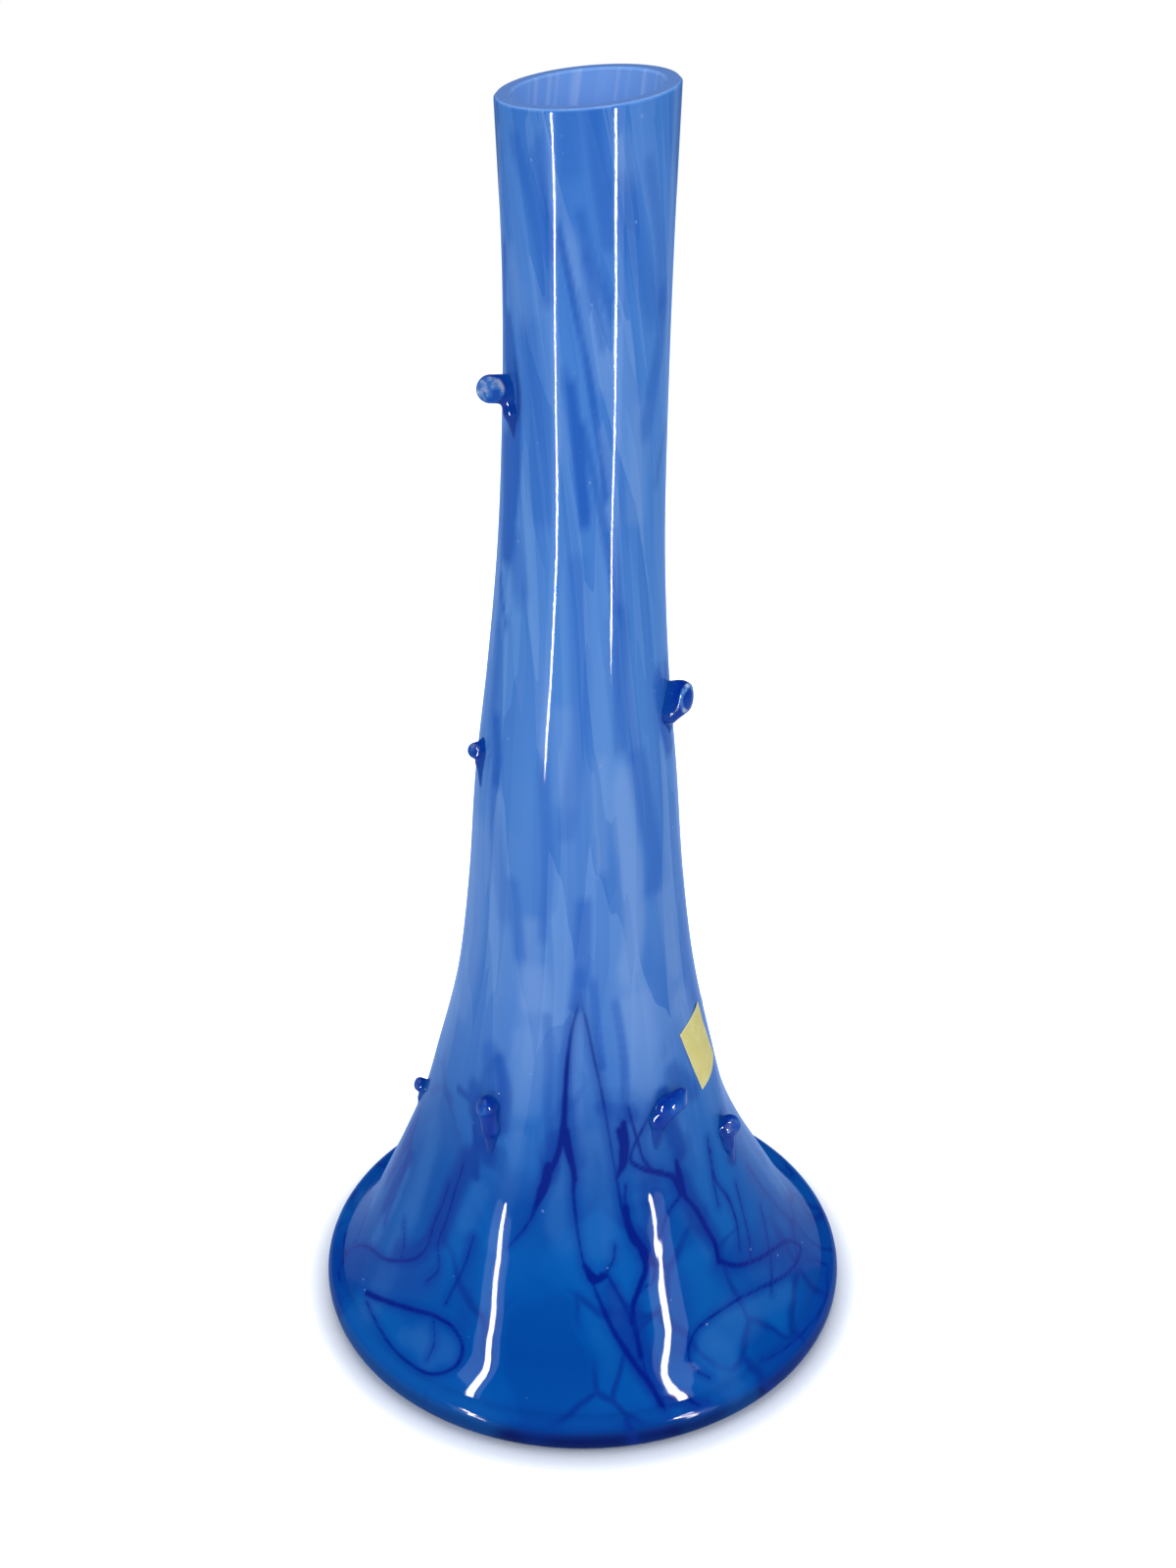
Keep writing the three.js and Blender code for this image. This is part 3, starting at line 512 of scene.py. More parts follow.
def outline_outside():
    """From the middle of the underside, round the foot's edge and up the trunk to the mouth."""
    hollow_floor = DOME_RISE + HOLLOW_DEPTH
    dome_start, ring_start = (HOLLOW_RADIUS, DOME_RISE), (STAND_RING_INNER, 0)
    flat_radius = FOOT_RADIUS - EDGE_ROUND
    middle = (FOOT_RADIUS, EDGE_THICKNESS / 2)
    brim_start = np.array([flat_radius, EDGE_THICKNESS])
    corner = np.array([BEND_RADIUS, BEND_HEIGHT])
    bend_start = corner + (brim_start - corner) * BEND_ROUND / np.hypot(*(brim_start - corner))
    bend_top = BEND_HEIGHT + BEND_ROUND
    skirt = np.linspace(bend_top, SKIRT_TOP, SKIRT_ROWS)
    trunk = np.linspace(SKIRT_TOP, VASE_HEIGHT - OUTER_BEVEL, TRUNK_ROWS)[1:]
    heights = np.concatenate([skirt, trunk])
    return np.concatenate([
        bowed((0, hollow_floor), (HOLLOW_RADIUS / 2, hollow_floor), dome_start, HOLLOW_STEPS),
        bowed(dome_start, (STAND_RING_INNER * DOME_BEND, DOME_RISE), ring_start, DOME_STEPS)[1:],
        np.linspace(ring_start, (flat_radius, 0), FLAT_POINTS)[1:-1],
        bowed((flat_radius, 0), (FOOT_RADIUS, 0), middle, EDGE_STEPS),
        bowed(middle, (FOOT_RADIUS, EDGE_THICKNESS), brim_start, EDGE_STEPS)[1:],
        np.linspace(brim_start, bend_start, FLAT_POINTS)[1:-1],
        bowed(bend_start, corner, (float(trunk_radius(bend_top)), bend_top), BEND_STEPS),
        np.stack([trunk_radius(heights), heights], -1)[1:],
    ])


def outline_inside():
    """From the outer bevel over the cut rim, down the hollow and to the middle of its floor."""
    cut_outer = (MOUTH_RADIUS - OUTER_BEVEL, VASE_HEIGHT)
    cut_inner = (MOUTH_RADIUS - MOUTH_WALL + INNER_BEVEL, VASE_HEIGHT)
    heights = np.linspace(VASE_HEIGHT - INNER_BEVEL, FLOOR_CORNER_HEIGHT, INSIDE_ROWS)
    radii = trunk_radius(heights) - wall_thickness(heights)
    corner, floor_start = (radii[-1], FLOOR_THICKNESS), (FLOOR_FLAT_RADIUS, FLOOR_THICKNESS)
    return np.concatenate([
        np.linspace(cut_outer, cut_inner, FLAT_POINTS),
        np.stack([radii, heights], -1),
        bowed((radii[-1], FLOOR_CORNER_HEIGHT), corner, floor_start, CORNER_STEPS)[1:],
        np.linspace(floor_start, (0, FLOOR_THICKNESS), FLAT_POINTS)[1:],
    ])


OUTSIDE = outline_outside()
INSIDE = outline_inside()
FOOT_TO_MOUTH = OUTSIDE[np.argmax(OUTSIDE[:, 0]):]


def outside_radius(height):
    """The wall's radius at a height, on the foot's edge, the brim or the trunk."""
    low = np.interp(height, FOOT_TO_MOUTH[:, 1], FOOT_TO_MOUTH[:, 0])
    return np.where(np.asarray(height) > BEND_HEIGHT + BEND_ROUND, trunk_radius(height), low)


def wall_point(height, azimuth):
    radius = outside_radius(height) + root_swell(height, azimuth) + unevenness(height, azimuth)
    return place_on_trunk(radius, height, azimuth)


def wall_normal(height, azimuth):
    along = wall_point(height + SLOPE_RISE, azimuth) - wall_point(height - SLOPE_RISE, azimuth)
    around = wall_point(height, azimuth + SLOPE_TURN) - wall_point(height, azimuth - SLOPE_TURN)
    normal = np.cross(around, along)
    return normal / np.linalg.norm(normal, axis=-1, keepdims=True)


def paint(colour):
    """A written colour such as #1b5fb0, turned to the linear values that Blender takes."""
    parts = [int(colour[i:i + 2], 16) / 255 for i in (1, 3, 5)]
    return (*(p / 12.92 if p <= 0.04045 else ((p + 0.055) / 1.055) ** 2.4 for p in parts), 1)


def add(tree, kind, feeds=(), stops=(), **settings):
    """Adds one node, with its settings, colour stops and links.

    feeds holds what goes into its inputs, in their order or by their names: another node, one of its
    outputs, a value or a written colour. stops holds a colour ramp's places, with a written colour or a
    grey value at each.
    """
    node = tree.nodes.new(kind if "Node" in kind else f"ShaderNode{kind}")
    for setting, value in settings.items():
        setattr(node, setting, value)
    for i, (place, tone) in enumerate(stops):
        stop = node.color_ramp.elements[i] if i < 2 else node.color_ramp.elements.new(place)
        stop.position = place
        stop.color = paint(tone) if isinstance(tone, str) else (tone, tone, tone, 1)
    inputs = [socket for socket in node.inputs if socket.enabled]
    if isinstance(feeds, dict):
        inputs = [next(socket for socket in inputs if socket.name == name) for name in feeds]
        feeds = feeds.values()
    for socket, value in zip(inputs, feeds):
        if isinstance(value, bpy.types.Node):
            value = next(output for output in value.outputs if output.enabled)
        if isinstance(value, bpy.types.NodeSocket):
            tree.links.new(value, socket)
        elif isinstance(value, str) and value.startswith("#"):
            socket.default_value = paint(value)
        else:
            socket.default_value = value
    return node


def geometry_tree(name, inputs, output):
    """An empty Geometry Nodes tree with its named inputs and its one output."""
    tree = bpy.data.node_groups.new(name, "GeometryNodeTree")
    for input_name, kind in inputs.items():
        tree.interface.new_socket(input_name, in_out="INPUT", socket_type=f"NodeSocket{kind}")
    tree.interface.new_socket(output, in_out="OUTPUT", socket_type="NodeSocketGeometry")
    return tree


def formed_mesh(start, tree, sizes):
    """Runs a tree on a mesh, with the sizes given for its named inputs. The result is a plain mesh."""
    holder = bpy.data.objects.new(start.name, start)
    bpy.context.scene.collection.objects.link(holder)
    modifier = holder.modifiers.new(tree.name, "NODES")
    modifier.node_group = tree
    for item in tree.interface.items_tree:
        if item.name in sizes:
            size = sizes[item.name]
            modifier[item.identifier] = [float(part) for part in size] if np.ndim(size) else size
    graph = bpy.context.evaluated_depsgraph_get()
    mesh = bpy.data.meshes.new_from_object(holder.evaluated_get(graph))
    bpy.data.objects.remove(holder)
    return mesh


def new_mesh(name, points, faces, material):
    mesh = bpy.data.meshes.new(name)
    mesh.from_pydata((np.asarray(points) * MM).tolist(), [], faces)
    mesh.materials.append(material)
    mesh.shade_smooth()
    return mesh


def values_of(layer, field, width=1):
    values = np.empty(len(layer) * width, np.float32)
    layer.foreach_get(field, values)
    return values.reshape(-1, width).astype(float) if width > 1 else values


def move_points(mesh, points):
    mesh.vertices.foreach_set("co", (points * MM).astype(np.float32).ravel())


def give_attribute(mesh, name, values):
    kind, field = ("FLOAT_VECTOR", "vector") if np.ndim(values) == 2 else ("FLOAT", "value")
    layer = mesh.attributes.new(name, kind, "POINT")
    layer.data.foreach_set(field, np.asarray(values, np.float32).ravel())


def show(name, mesh, node):
    """Puts a finished piece on the vase's one body, in place of the plain solid that it stands for."""
    piece = bpy.data.objects.new(name, mesh)
    bpy.context.scene.collection.objects.link(piece)
    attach(piece, "root")
    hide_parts(node)


# The blown body is turned from its outline: each row of the grid is one outline point swung right round,
# with the rows' points closer together at the front

def turning_tree(material):
    tree = geometry_tree("turned_wall", {
        "Outline": "Geometry", "Sides": "Int", "Front crowding": "Float", "Merge distance": "Float",
    }, "Wall")
    node = partial(add, tree)
    outline, sides, crowding, merge_distance = list(node("NodeGroupInput").outputs)[:4]
    rows = node("GeometryNodeAttributeDomainSize", (outline,)).outputs["Point Count"]
    columns = node("Math", (sides, 1.0), operation="ADD")
    sheet = node("GeometryNodeMeshGrid", {"Vertices X": rows, "Vertices Y": columns})

    index = node("GeometryNodeInputIndex")
    row = node("Math", (index, 0.5), operation="ADD")
    row = node("Math", (row, columns), operation="DIVIDE")
    row = node("Math", (row,), operation="FLOOR")
    row_start = node("Math", (row, columns), operation="MULTIPLY")
    column = node("Math", (index, row_start), operation="SUBTRACT")
    turn = node("Math", (column, sides), operation="DIVIDE")
    turn = node("Math", (turn, 0.5), operation="SUBTRACT")
    turn = node("Math", (turn, 2 * math.pi), operation="MULTIPLY")
    crowded = node("Math", (turn,), operation="SINE")
    crowded = node("Math", (crowding, crowded), operation="MULTIPLY")
    azimuth = node("Math", (turn, crowded), operation="SUBTRACT")

    on_row = node(
        "GeometryNodeSampleIndex",
        {"Geometry": outline, "Value": node("GeometryNodeInputPosition"), "Index": row},
        data_type="FLOAT_VECTOR", domain="POINT",
    )
    radius, outer, height = node("SeparateXYZ", (on_row,)).outputs
    right = node("Math", (azimuth,), operation="SINE")
    right = node("Math", (radius, right), operation="MULTIPLY")
    back = node("Math", (azimuth,), operation="COSINE")
    back = node("Math", (back, -1.0), operation="MULTIPLY")
    back = node("Math", (radius, back), operation="MULTIPLY")
    swung = node("CombineXYZ", (right, back, height))
    turned = node("GeometryNodeSetPosition", {"Geometry": sheet, "Position": swung})
    marked = node(
        "GeometryNodeStoreNamedAttribute", {"Geometry": turned, "Name": "outer", "Value": outer},
        data_type="FLOAT", domain="POINT",
    )
    closed = node("GeometryNodeMergeByDistance", {"Geometry": marked, "Distance": merge_distance})
    outward = node("GeometryNodeFlipFaces", (closed,))
    real = node("GeometryNodeRealizeInstances", (outward,))
    glazed = node("GeometryNodeSetMaterial", {"Geometry": real, "Material": material})
    node("NodeGroupOutput", (glazed,), is_active_output=True)
    return tree


def turned_wall(material):
    # The outline lies in the plane of X and Z, and its Y says whether a point is on the outside
    outline = np.concatenate([OUTSIDE, INSIDE]) * MM
    outer = np.concatenate([np.ones(len(OUTSIDE)), np.zeros(len(INSIDE))])
    points = np.stack([outline[:, 0], outer, outline[:, 1]], -1)
    lines = [(i, i + 1) for i in range(len(points) - 1)]
    mesh = bpy.data.meshes.new("outline")
    mesh.from_pydata(points.tolist(), lines, [])
    return formed_mesh(mesh, turning_tree(material), {
        "Sides": WALL_SIDES, "Front crowding": FRONT_CROWDING, "Merge distance": SEAM_MERGE * MM,
    })


# Streaks and veins are laid on the wall as strokes: smooth runs of close points

def stroke_points(places, spacing):
    places = np.array(places, float)
    knots = wall_point(places[:, 1], places[:, 0])
    lengths = np.concatenate([[0], np.cumsum(np.linalg.norm(np.diff(knots, axis=0), axis=1))])
    steps = np.linspace(0, lengths[-1], max(2, int(lengths[-1] / spacing) + 1))
    slopes = np.gradient(places, lengths, axis=0)
    i = np.clip(np.searchsorted(lengths, steps, side="right") - 1, 0, len(places) - 2)
    run = (lengths[i + 1] - lengths[i])[:, None]
    share = (steps - lengths[i])[:, None] / run
    azimuths, heights = along_curve(places, slopes, i, share, run).T
    return wall_point(np.clip(heights, EDGE_THICKNESS / 2, VASE_HEIGHT), azimuths), steps / lengths[-1]


def to_the_back(places):
    """The unseen back carries the front's strokes, mirrored, stretched and raised a little."""
    azimuths, heights = np.array(places, float).T
    raised = heights * BACK_STRETCH + np.where(heights > BACK_RISE_START, BACK_RISE, 0)
    return np.stack([BACK_TURN - azimuths, np.minimum(raised, VASE_HEIGHT)], -1)


def least_gap(points, stroke, half_widths):
    """How far each point lies outside a stroke's edge. Points past the stroke's reach get a long way."""
    gaps = np.full(len(points), FAR_FROM_STROKE)
    low, high = stroke.min(0) - STROKE_REACH, stroke.max(0) + STROKE_REACH
    near = np.flatnonzero(((points > low) & (points < high)).all(1))
    for part in np.array_split(near, max(1, len(near) // POINTS_AT_ONCE)):
        apart = np.linalg.norm(points[part, None] - stroke[None], axis=-1) - half_widths[None]
        gaps[part] = apart.min(1)
    return gaps


def vein_depth(points):
    """How deep each point lies inside a vein, in millimetres, negative outside."""
    depth = np.full(len(points), -VEIN_REACH)
    for widths, places in VEINS:
        for course in (places, to_the_back(places)):
            stroke, share = stroke_points(course, VEIN_SPACING)
            # A thin vein is widened until the wall's columns can show it
            radius = np.hypot(stroke[:, 0], stroke[:, 1])
            column_width = 2 * np.pi * radius / WALL_SIDES * (1 + FRONT_CROWDING * stroke[:, 1] / radius)
            least = np.minimum(VEIN_COLUMNS * column_width, THIN_VEIN)
            half_widths = np.maximum(np.interp(share, (0, 0.5, 1), widths), least)
            depth = np.maximum(depth, -least_gap(points, stroke, half_widths))
    return depth


def streak_strength(points, streaks):
    clear = np.ones(len(points))
    for half_width, strength, places in streaks:
        for course in (places, to_the_back(places)):
            stroke, _ = stroke_points(course, STREAK_SPACING)
            apart = least_gap(points, stroke, np.zeros(len(stroke)))
            clear *= 1 - strength * np.exp(-((apart / (STREAK_SOFTNESS * half_width)) ** 4))
    return 1 - clear


def flow_place(height, azimuth, radius):
    """Where a point lay before the glass was drawn out and twisted: streaks follow this, not the wall."""
    radii, outline_heights = FOOT_TO_MOUTH.T
    drawn = np.cumsum(np.hypot(
        np.diff(radii, prepend=radii[0]), np.diff(outline_heights, prepend=outline_heights[0]),
    ))
    along = np.interp(height, outline_heights, drawn)
    heights = np.linspace(0, VASE_HEIGHT, TWIST_STEPS)
    twist = np.cumsum(TWIST * smooth_step(TWIST_START, TWIST_FULL, heights)) * (heights[1] - heights[0])
    turn = np.radians(azimuth + np.interp(height, heights, twist))
    spread = np.where(height < EDGE_THICKNESS / 2, np.minimum(radius / FOOT_RADIUS, 1), 1)
    return np.stack([spread * np.sin(turn), -spread * np.cos(turn), along / VASE_HEIGHT], -1)


def blown_body(material):
    mesh = turned_wall(material)
    points = values_of(mesh.vertices, "co", 3) / MM
    outer = values_of(mesh.attributes["outer"].data, "value")
    radius, height = np.hypot(points[:, 0], points[:, 1]), points[:, 2]
    azimuth = np.degrees(np.arctan2(points[:, 0], -points[:, 1]))
    swollen = radius + outer * root_swell(height, azimuth) + unevenness(height, azimuth)
    placed = place_on_trunk(np.where(radius > MIDDLE_RADIUS, swollen, 0), height, azimuth)
    move_points(mesh, placed)
    give_attribute(mesh, "vein", vein_depth(placed))
    give_attribute(mesh, "shade", streak_strength(placed, SHADES))
    # Pale opal streaks, with painted reflections along the outline's sides
    give_attribute(mesh, "milk_and_sheen", streak_strength(placed, MILKS_AND_SHEENS))
    give_attribute(mesh, "flow", flow_place(height, azimuth, radius))
    mesh.shade_smooth()
    mesh.set_sharp_from_angle(angle=math.radians(SHARP_DEGREES))
    mesh.update()
    show("blown_body", mesh, "vase_body")


class WallPlace:
    """A place on the wall, with the directions out of the wall and up along it."""

    def __init__(self, height, azimuth):
        self.height = height
        self.azimuth = azimuth
        self.radius = float(trunk_radius(height))
        self.outward = wall_normal(height, azimuth)
        turn = math.radians(azimuth)
        up = np.cross(self.outward, (math.cos(turn), math.sin(turn), 0))
        self.up = up / np.linalg.norm(up)

    def beside(self, right, along, lift):
        """Points that far to the right, up along the wall and out of it. They bend with the wall."""
        height = self.height + along * self.up[2]
        azimuth = self.azimuth + np.degrees(right / self.radius)
        return wall_point(height, azimuth) + np.multiply.outer(lift, self.outward)


# A knob is the skin of its three runs of glass where they melt into each other, with the head sheared.
# Its tree works in millimetres, with the wall as its floor.

RUNS = ("Head", "Body", "Tail")
RUN_PARTS = {"start": "Vector", "end": "Vector", "start radius": "Float", "end radius": "Float"}


def run_distance(node, position, given, run):
    """How far a position lies outside one run, which is a round bar with a radius at each end."""
    start, end, low, high = (given[f"{run} {part}"] for part in RUN_PARTS)
    reach = node("VectorMath", (end, start), operation="SUBTRACT")
    away = node("VectorMath", (position, start), operation="SUBTRACT")
    ahead = node("VectorMath", (away, reach), operation="DOT_PRODUCT")
    length_square = node("VectorMath", (reach, reach), operation="DOT_PRODUCT")
    share = node("Math", (ahead, length_square), operation="DIVIDE", use_clamp=True)
    along = node("VectorMath", {"Vector": reach, "Scale": share}, operation="SCALE")
    growth = node("Math", (high, low), operation="SUBTRACT")
    radius = node("Math", (growth, share, low), operation="MULTIPLY_ADD")
    apart = node("VectorMath", (away, along), operation="DISTANCE")
    return node("Math", (apart, radius), operation="SUBTRACT")


def melting_tree(material):
    tree = geometry_tree("melted_runs", {
        **{f"{run} {part}": kind for run in RUNS for part, kind in RUN_PARTS.items()},
        **dict.fromkeys(("Shear middle", "Shear direction", "Lowest corner", "Highest corner"), "Vector"),
        **dict.fromkeys(("Melt", "Shear round", "Sink"), "Float"),
        **dict.fromkeys(("Cells right", "Cells up", "Cells out"), "Int"),
    }, "Knob")
    node = partial(add, tree)
    given = node("NodeGroupInput").outputs
    position = node("GeometryNodeInputPosition")
    head, body, tail = (run_distance(node, position, given, run) for run in RUNS)
    beyond_shear = node("VectorMath", (position, given["Shear middle"]), operation="SUBTRACT")
    beyond_shear = node("VectorMath", (beyond_shear, given["Shear direction"]), operation="DOT_PRODUCT")
    sheared_head = node("Math", (head, beyond_shear, given["Shear round"]), operation="SMOOTH_MAX")
    trailing = node("Math", (body, tail, given["Melt"]), operation="SMOOTH_MIN")
    melted = node("Math", (sheared_head, trailing, given["Melt"]), operation="SMOOTH_MIN")
    under_wall = node("Math", (node("SeparateXYZ", (position,)).outputs["Z"], -1.0), operation="MULTIPLY")
    under_wall = node("Math", (under_wall, given["Sink"]), operation="SUBTRACT")
    skin = node("Math", (melted, under_wall), operation="MAXIMUM")
    # The glass is one half dense at its skin, and the surface is drawn where it is
    density = node("Math", (skin, -0.5, 0.5), operation="MULTIPLY_ADD")
    glass = node("GeometryNodeVolumeCube", {
        "Density": density, "Min": given["Lowest corner"], "Max": given["Highest corner"],
        "Resolution X": given["Cells right"], "Resolution Y": given["Cells up"],
        "Resolution Z": given["Cells out"],
    })
    surface = node("GeometryNodeVolumeToMesh", {"Volume": glass, "Threshold": 0.5, "Adaptivity": 0.0})
    real = node("GeometryNodeRealizeInstances", (surface,))
    glazed = node("GeometryNodeSetMaterial", {"Geometry": real, "Material": material})
    node("NodeGroupOutput", (glazed,), is_active_output=True)
    return tree


def pulled_knob(name, knob, tree):
    shear = np.array(knob["shear"]) / np.linalg.norm(knob["shear"])
    head_end, head_radius = np.array(knob["head"][1]), knob["head"][3]
    runs = (knob["head"], knob["body"], knob["tail"])
    reaches = [np.array(run[i]) + way * max(run[2:]) for run in runs for i in (0, 1) for way in (-1, 1)]
    lowest = np.append(np.min(reaches, axis=0)[:2] - KNOB_MARGIN, -KNOB_MARGIN)
    highest = np.max(reaches, axis=0) + KNOB_MARGIN
    cells = np.ceil((highest - lowest) / KNOB_CELL).astype(int).tolist()
    shear_middle = head_end + shear * head_radius * knob["shear_depth"]
    sizes = {
        "Shear middle": shear_middle, "Shear direction": shear, "Lowest corner": lowest,
        "Highest corner": highest, "Melt": knob["melt"], "Shear round": SHEAR_ROUND, "Sink": KNOB_SINK,
        "Cells right": cells[0], "Cells up": cells[1], "Cells out": cells[2],
    }
    for run_name, run in zip(RUNS, runs):
        sizes |= {f"{run_name} {part}": size for part, size in zip(RUN_PARTS, run)}
    mesh = formed_mesh(bpy.data.meshes.new("gather"), tree, sizes)
    points = values_of(mesh.vertices, "co", 3)
    right, along, lift = points.T
    root = WallPlace(knob["height"] * VASE_HEIGHT, knob["azimuth"])
    move_points(mesh, root.beside(right, along, lift))
    give_attribute(mesh, "head", np.clip(lift / (head_end[2] + head_radius), 0, 1))
    # The sheared face, which carries a painted reflection, is the flat of the head alone, and not the glass
    # of the body or the tail beyond it
    above_shear = points @ shear - shear_middle @ shear
    from_head = np.linalg.norm(points - head_end, axis=1) / head_radius
    on_face = smooth_step(*FACE_STARTS, above_shear) * (1 - smooth_step(*FACE_ENDS, above_shear))
    give_attribute(mesh, "shear_glint", knob["glint"] * on_face * (1 - smooth_step(*FACE_REACH, from_head)))
    mesh.shade_smooth()
    mesh.update()
    show(f"pulled_{name}", mesh, name)


def paper_label(material):
    turn = math.radians(LABEL_TURN)
    middle = WallPlace(LABEL_HEIGHT, LABEL_AZIMUTH)
    rows, columns = LABEL_ROWS, LABEL_COLUMNS
    across, along = np.meshgrid(np.linspace(-0.5, 0.5, columns), np.linspace(-0.5, 0.5, rows))
    right = across * LABEL_WIDTH * math.cos(turn) - along * LABEL_LENGTH * math.sin(turn)
    rise = across * LABEL_WIDTH * math.sin(turn) + along * LABEL_LENGTH * math.cos(turn)
    height = LABEL_HEIGHT + rise * middle.up[2]
    azimuth = LABEL_AZIMUTH + np.degrees(right / trunk_radius(height))
    # The upper right corner has let go a little, and the paper cockled as its glue dried
    loose = smooth_step(*LABEL_LOOSE, across + along)
    waves = np.sin(across * COCKLE_ACROSS + along * COCKLE_ALONG) * np.sin(along * COCKLE_CROSSED)
    cockle = LABEL_COCKLE * waves
    lifts = GLUE_THICKNESS + LABEL_LIFT * loose + cockle
    normal = wall_normal(height, azimuth)
    base = wall_point(height, azimuth)
    under, over = (base + normal * (lifts + thick)[..., None] for thick in (0.0, LABEL_THICKNESS))
    points = np.concatenate([under.reshape(-1, 3), over.reshape(-1, 3)])
    to_over = rows * columns
    faces = []
    for row in range(rows - 1):
        for column in range(columns - 1):
            first = row * columns + column
            corners = [first, first + 1, first + 1 + columns, first + columns]
            faces += [[corner + to_over for corner in corners], corners[::-1]]
    count = np.arange(to_over).reshape(rows, columns)
    rim = np.concatenate([count[0], count[1:, -1], count[-1, -2::-1], count[-2:0:-1, 0]]).tolist()
    for here, ahead in zip(rim, rim[1:] + rim[:1]):
        faces.append([here, ahead, ahead + to_over, here + to_over])
    mesh = new_mesh("paper_label", points, faces, material)
    edge = np.maximum(abs(across) * 2, abs(along) * 2).ravel()
    give_attribute(mesh, "edge", np.tile(edge, 2))
    show("label_paper", mesh, "paper_label")


# The sizes of the marks in each material, in millimetres

# Frit that was drawn out up the wall: long tongues, finer threads in them, and the painted reflections
# that streak the inside, each with its width on the neck. The frit drifts aside within these shares of
# the neck's radius and the vase's height.
TONGUE_WIDTH, TONGUE_LENGTH = 7.92, 98.09
THREAD_WIDTH, THREAD_LENGTH = 2.33, 51.3
INSIDE_SHEEN_WIDTH, INSIDE_SHEEN_LENGTH = 2.83, VASE_HEIGHT
DRIFT_SIZE = 6.6
DRIFT_REACH = (0.3, 0.3, 0.16)

# Frit that stayed in lumps on the foot, drawn a little taller and bent as the foot was shaped, the patches
# in which the joints between them show, and the heights between which the foot's colours fade out
LUMP_SIZE = 21.74
LUMP_SQUEEZE = (1, 1, 0.62)
BEND_SIZE, BEND_REACH = 23.81, 18.0
JOINT_PATCH_SIZE = 41.67
FOOT_COLOUR_FULL, FOOT_COLOUR_END = 52.0, 118.0

# The veins' frayed edges, and the heights between which the veins grow faint
FRAY_SIZE = 4.167
VEIN_COLOUR_FULL, VEIN_COLOUR_FAINT = 95.0, 130.0

# Cells with a seed bubble or speck in about one out of twenty-five, the ripple that cooling left, and a
# thin film of handling marks
SEED_SPACING = 3.333
RIPPLE_WIDTH, RIPPLE_LENGTH = 12.38, 166.8
RIPPLE_DEPTH = 0.5
FILM_SIZE = 18.18

# The knobs: cords of darker glass, seed bubbles, the marks of the shears, which break up the painted
# reflection on the sheared face, ripple and film. The real shear marks are a few tenths of a millimetre
# across, and are drawn this coarse so that they show.
CORD_WIDTH, CORD_LENGTH = 5.263, 16.67
KNOB_SEED_SPACING = 1.4286
SHEAR_MARK_SIZE = 3.03
KNOB_RIPPLE_SIZE, KNOB_RIPPLE_DEPTH = 3.846, 0.4
KNOB_FILM_SIZE = 11.11

# The paper: clouds in its pulp, and fibres that lie across it. Real fibres are a few hundredths of a
# millimetre wide, and are drawn ten times as wide so that they show.
PAPER_CLOUD_SIZE = 6.25
FIBRE_LENGTH, FIBRE_WIDTH = 1.111, 0.3125
FIBRE_DEPTH = 0.06

SMOOTHLY = {"interpolation_type": "SMOOTHSTEP"}
AS_COLOUR = {"data_type": "RGBA"}


def every(size):
    """A pattern's scale on Object coordinates, from the size of one of its marks in millimetres."""
    return 1 / (size * MM)


def drawn_out(width, length):
    """A pattern's scales on the flow, from the width and length of one of its streaks in millimetres."""
    return NECK_RADIUS / width, NECK_RADIUS / width, VASE_HEIGHT / length


def blank_material(name):
    material = bpy.data.materials.new(name)
    material.use_nodes = True
    material.node_tree.nodes.clear()
    return material, partial(add, material.node_tree)


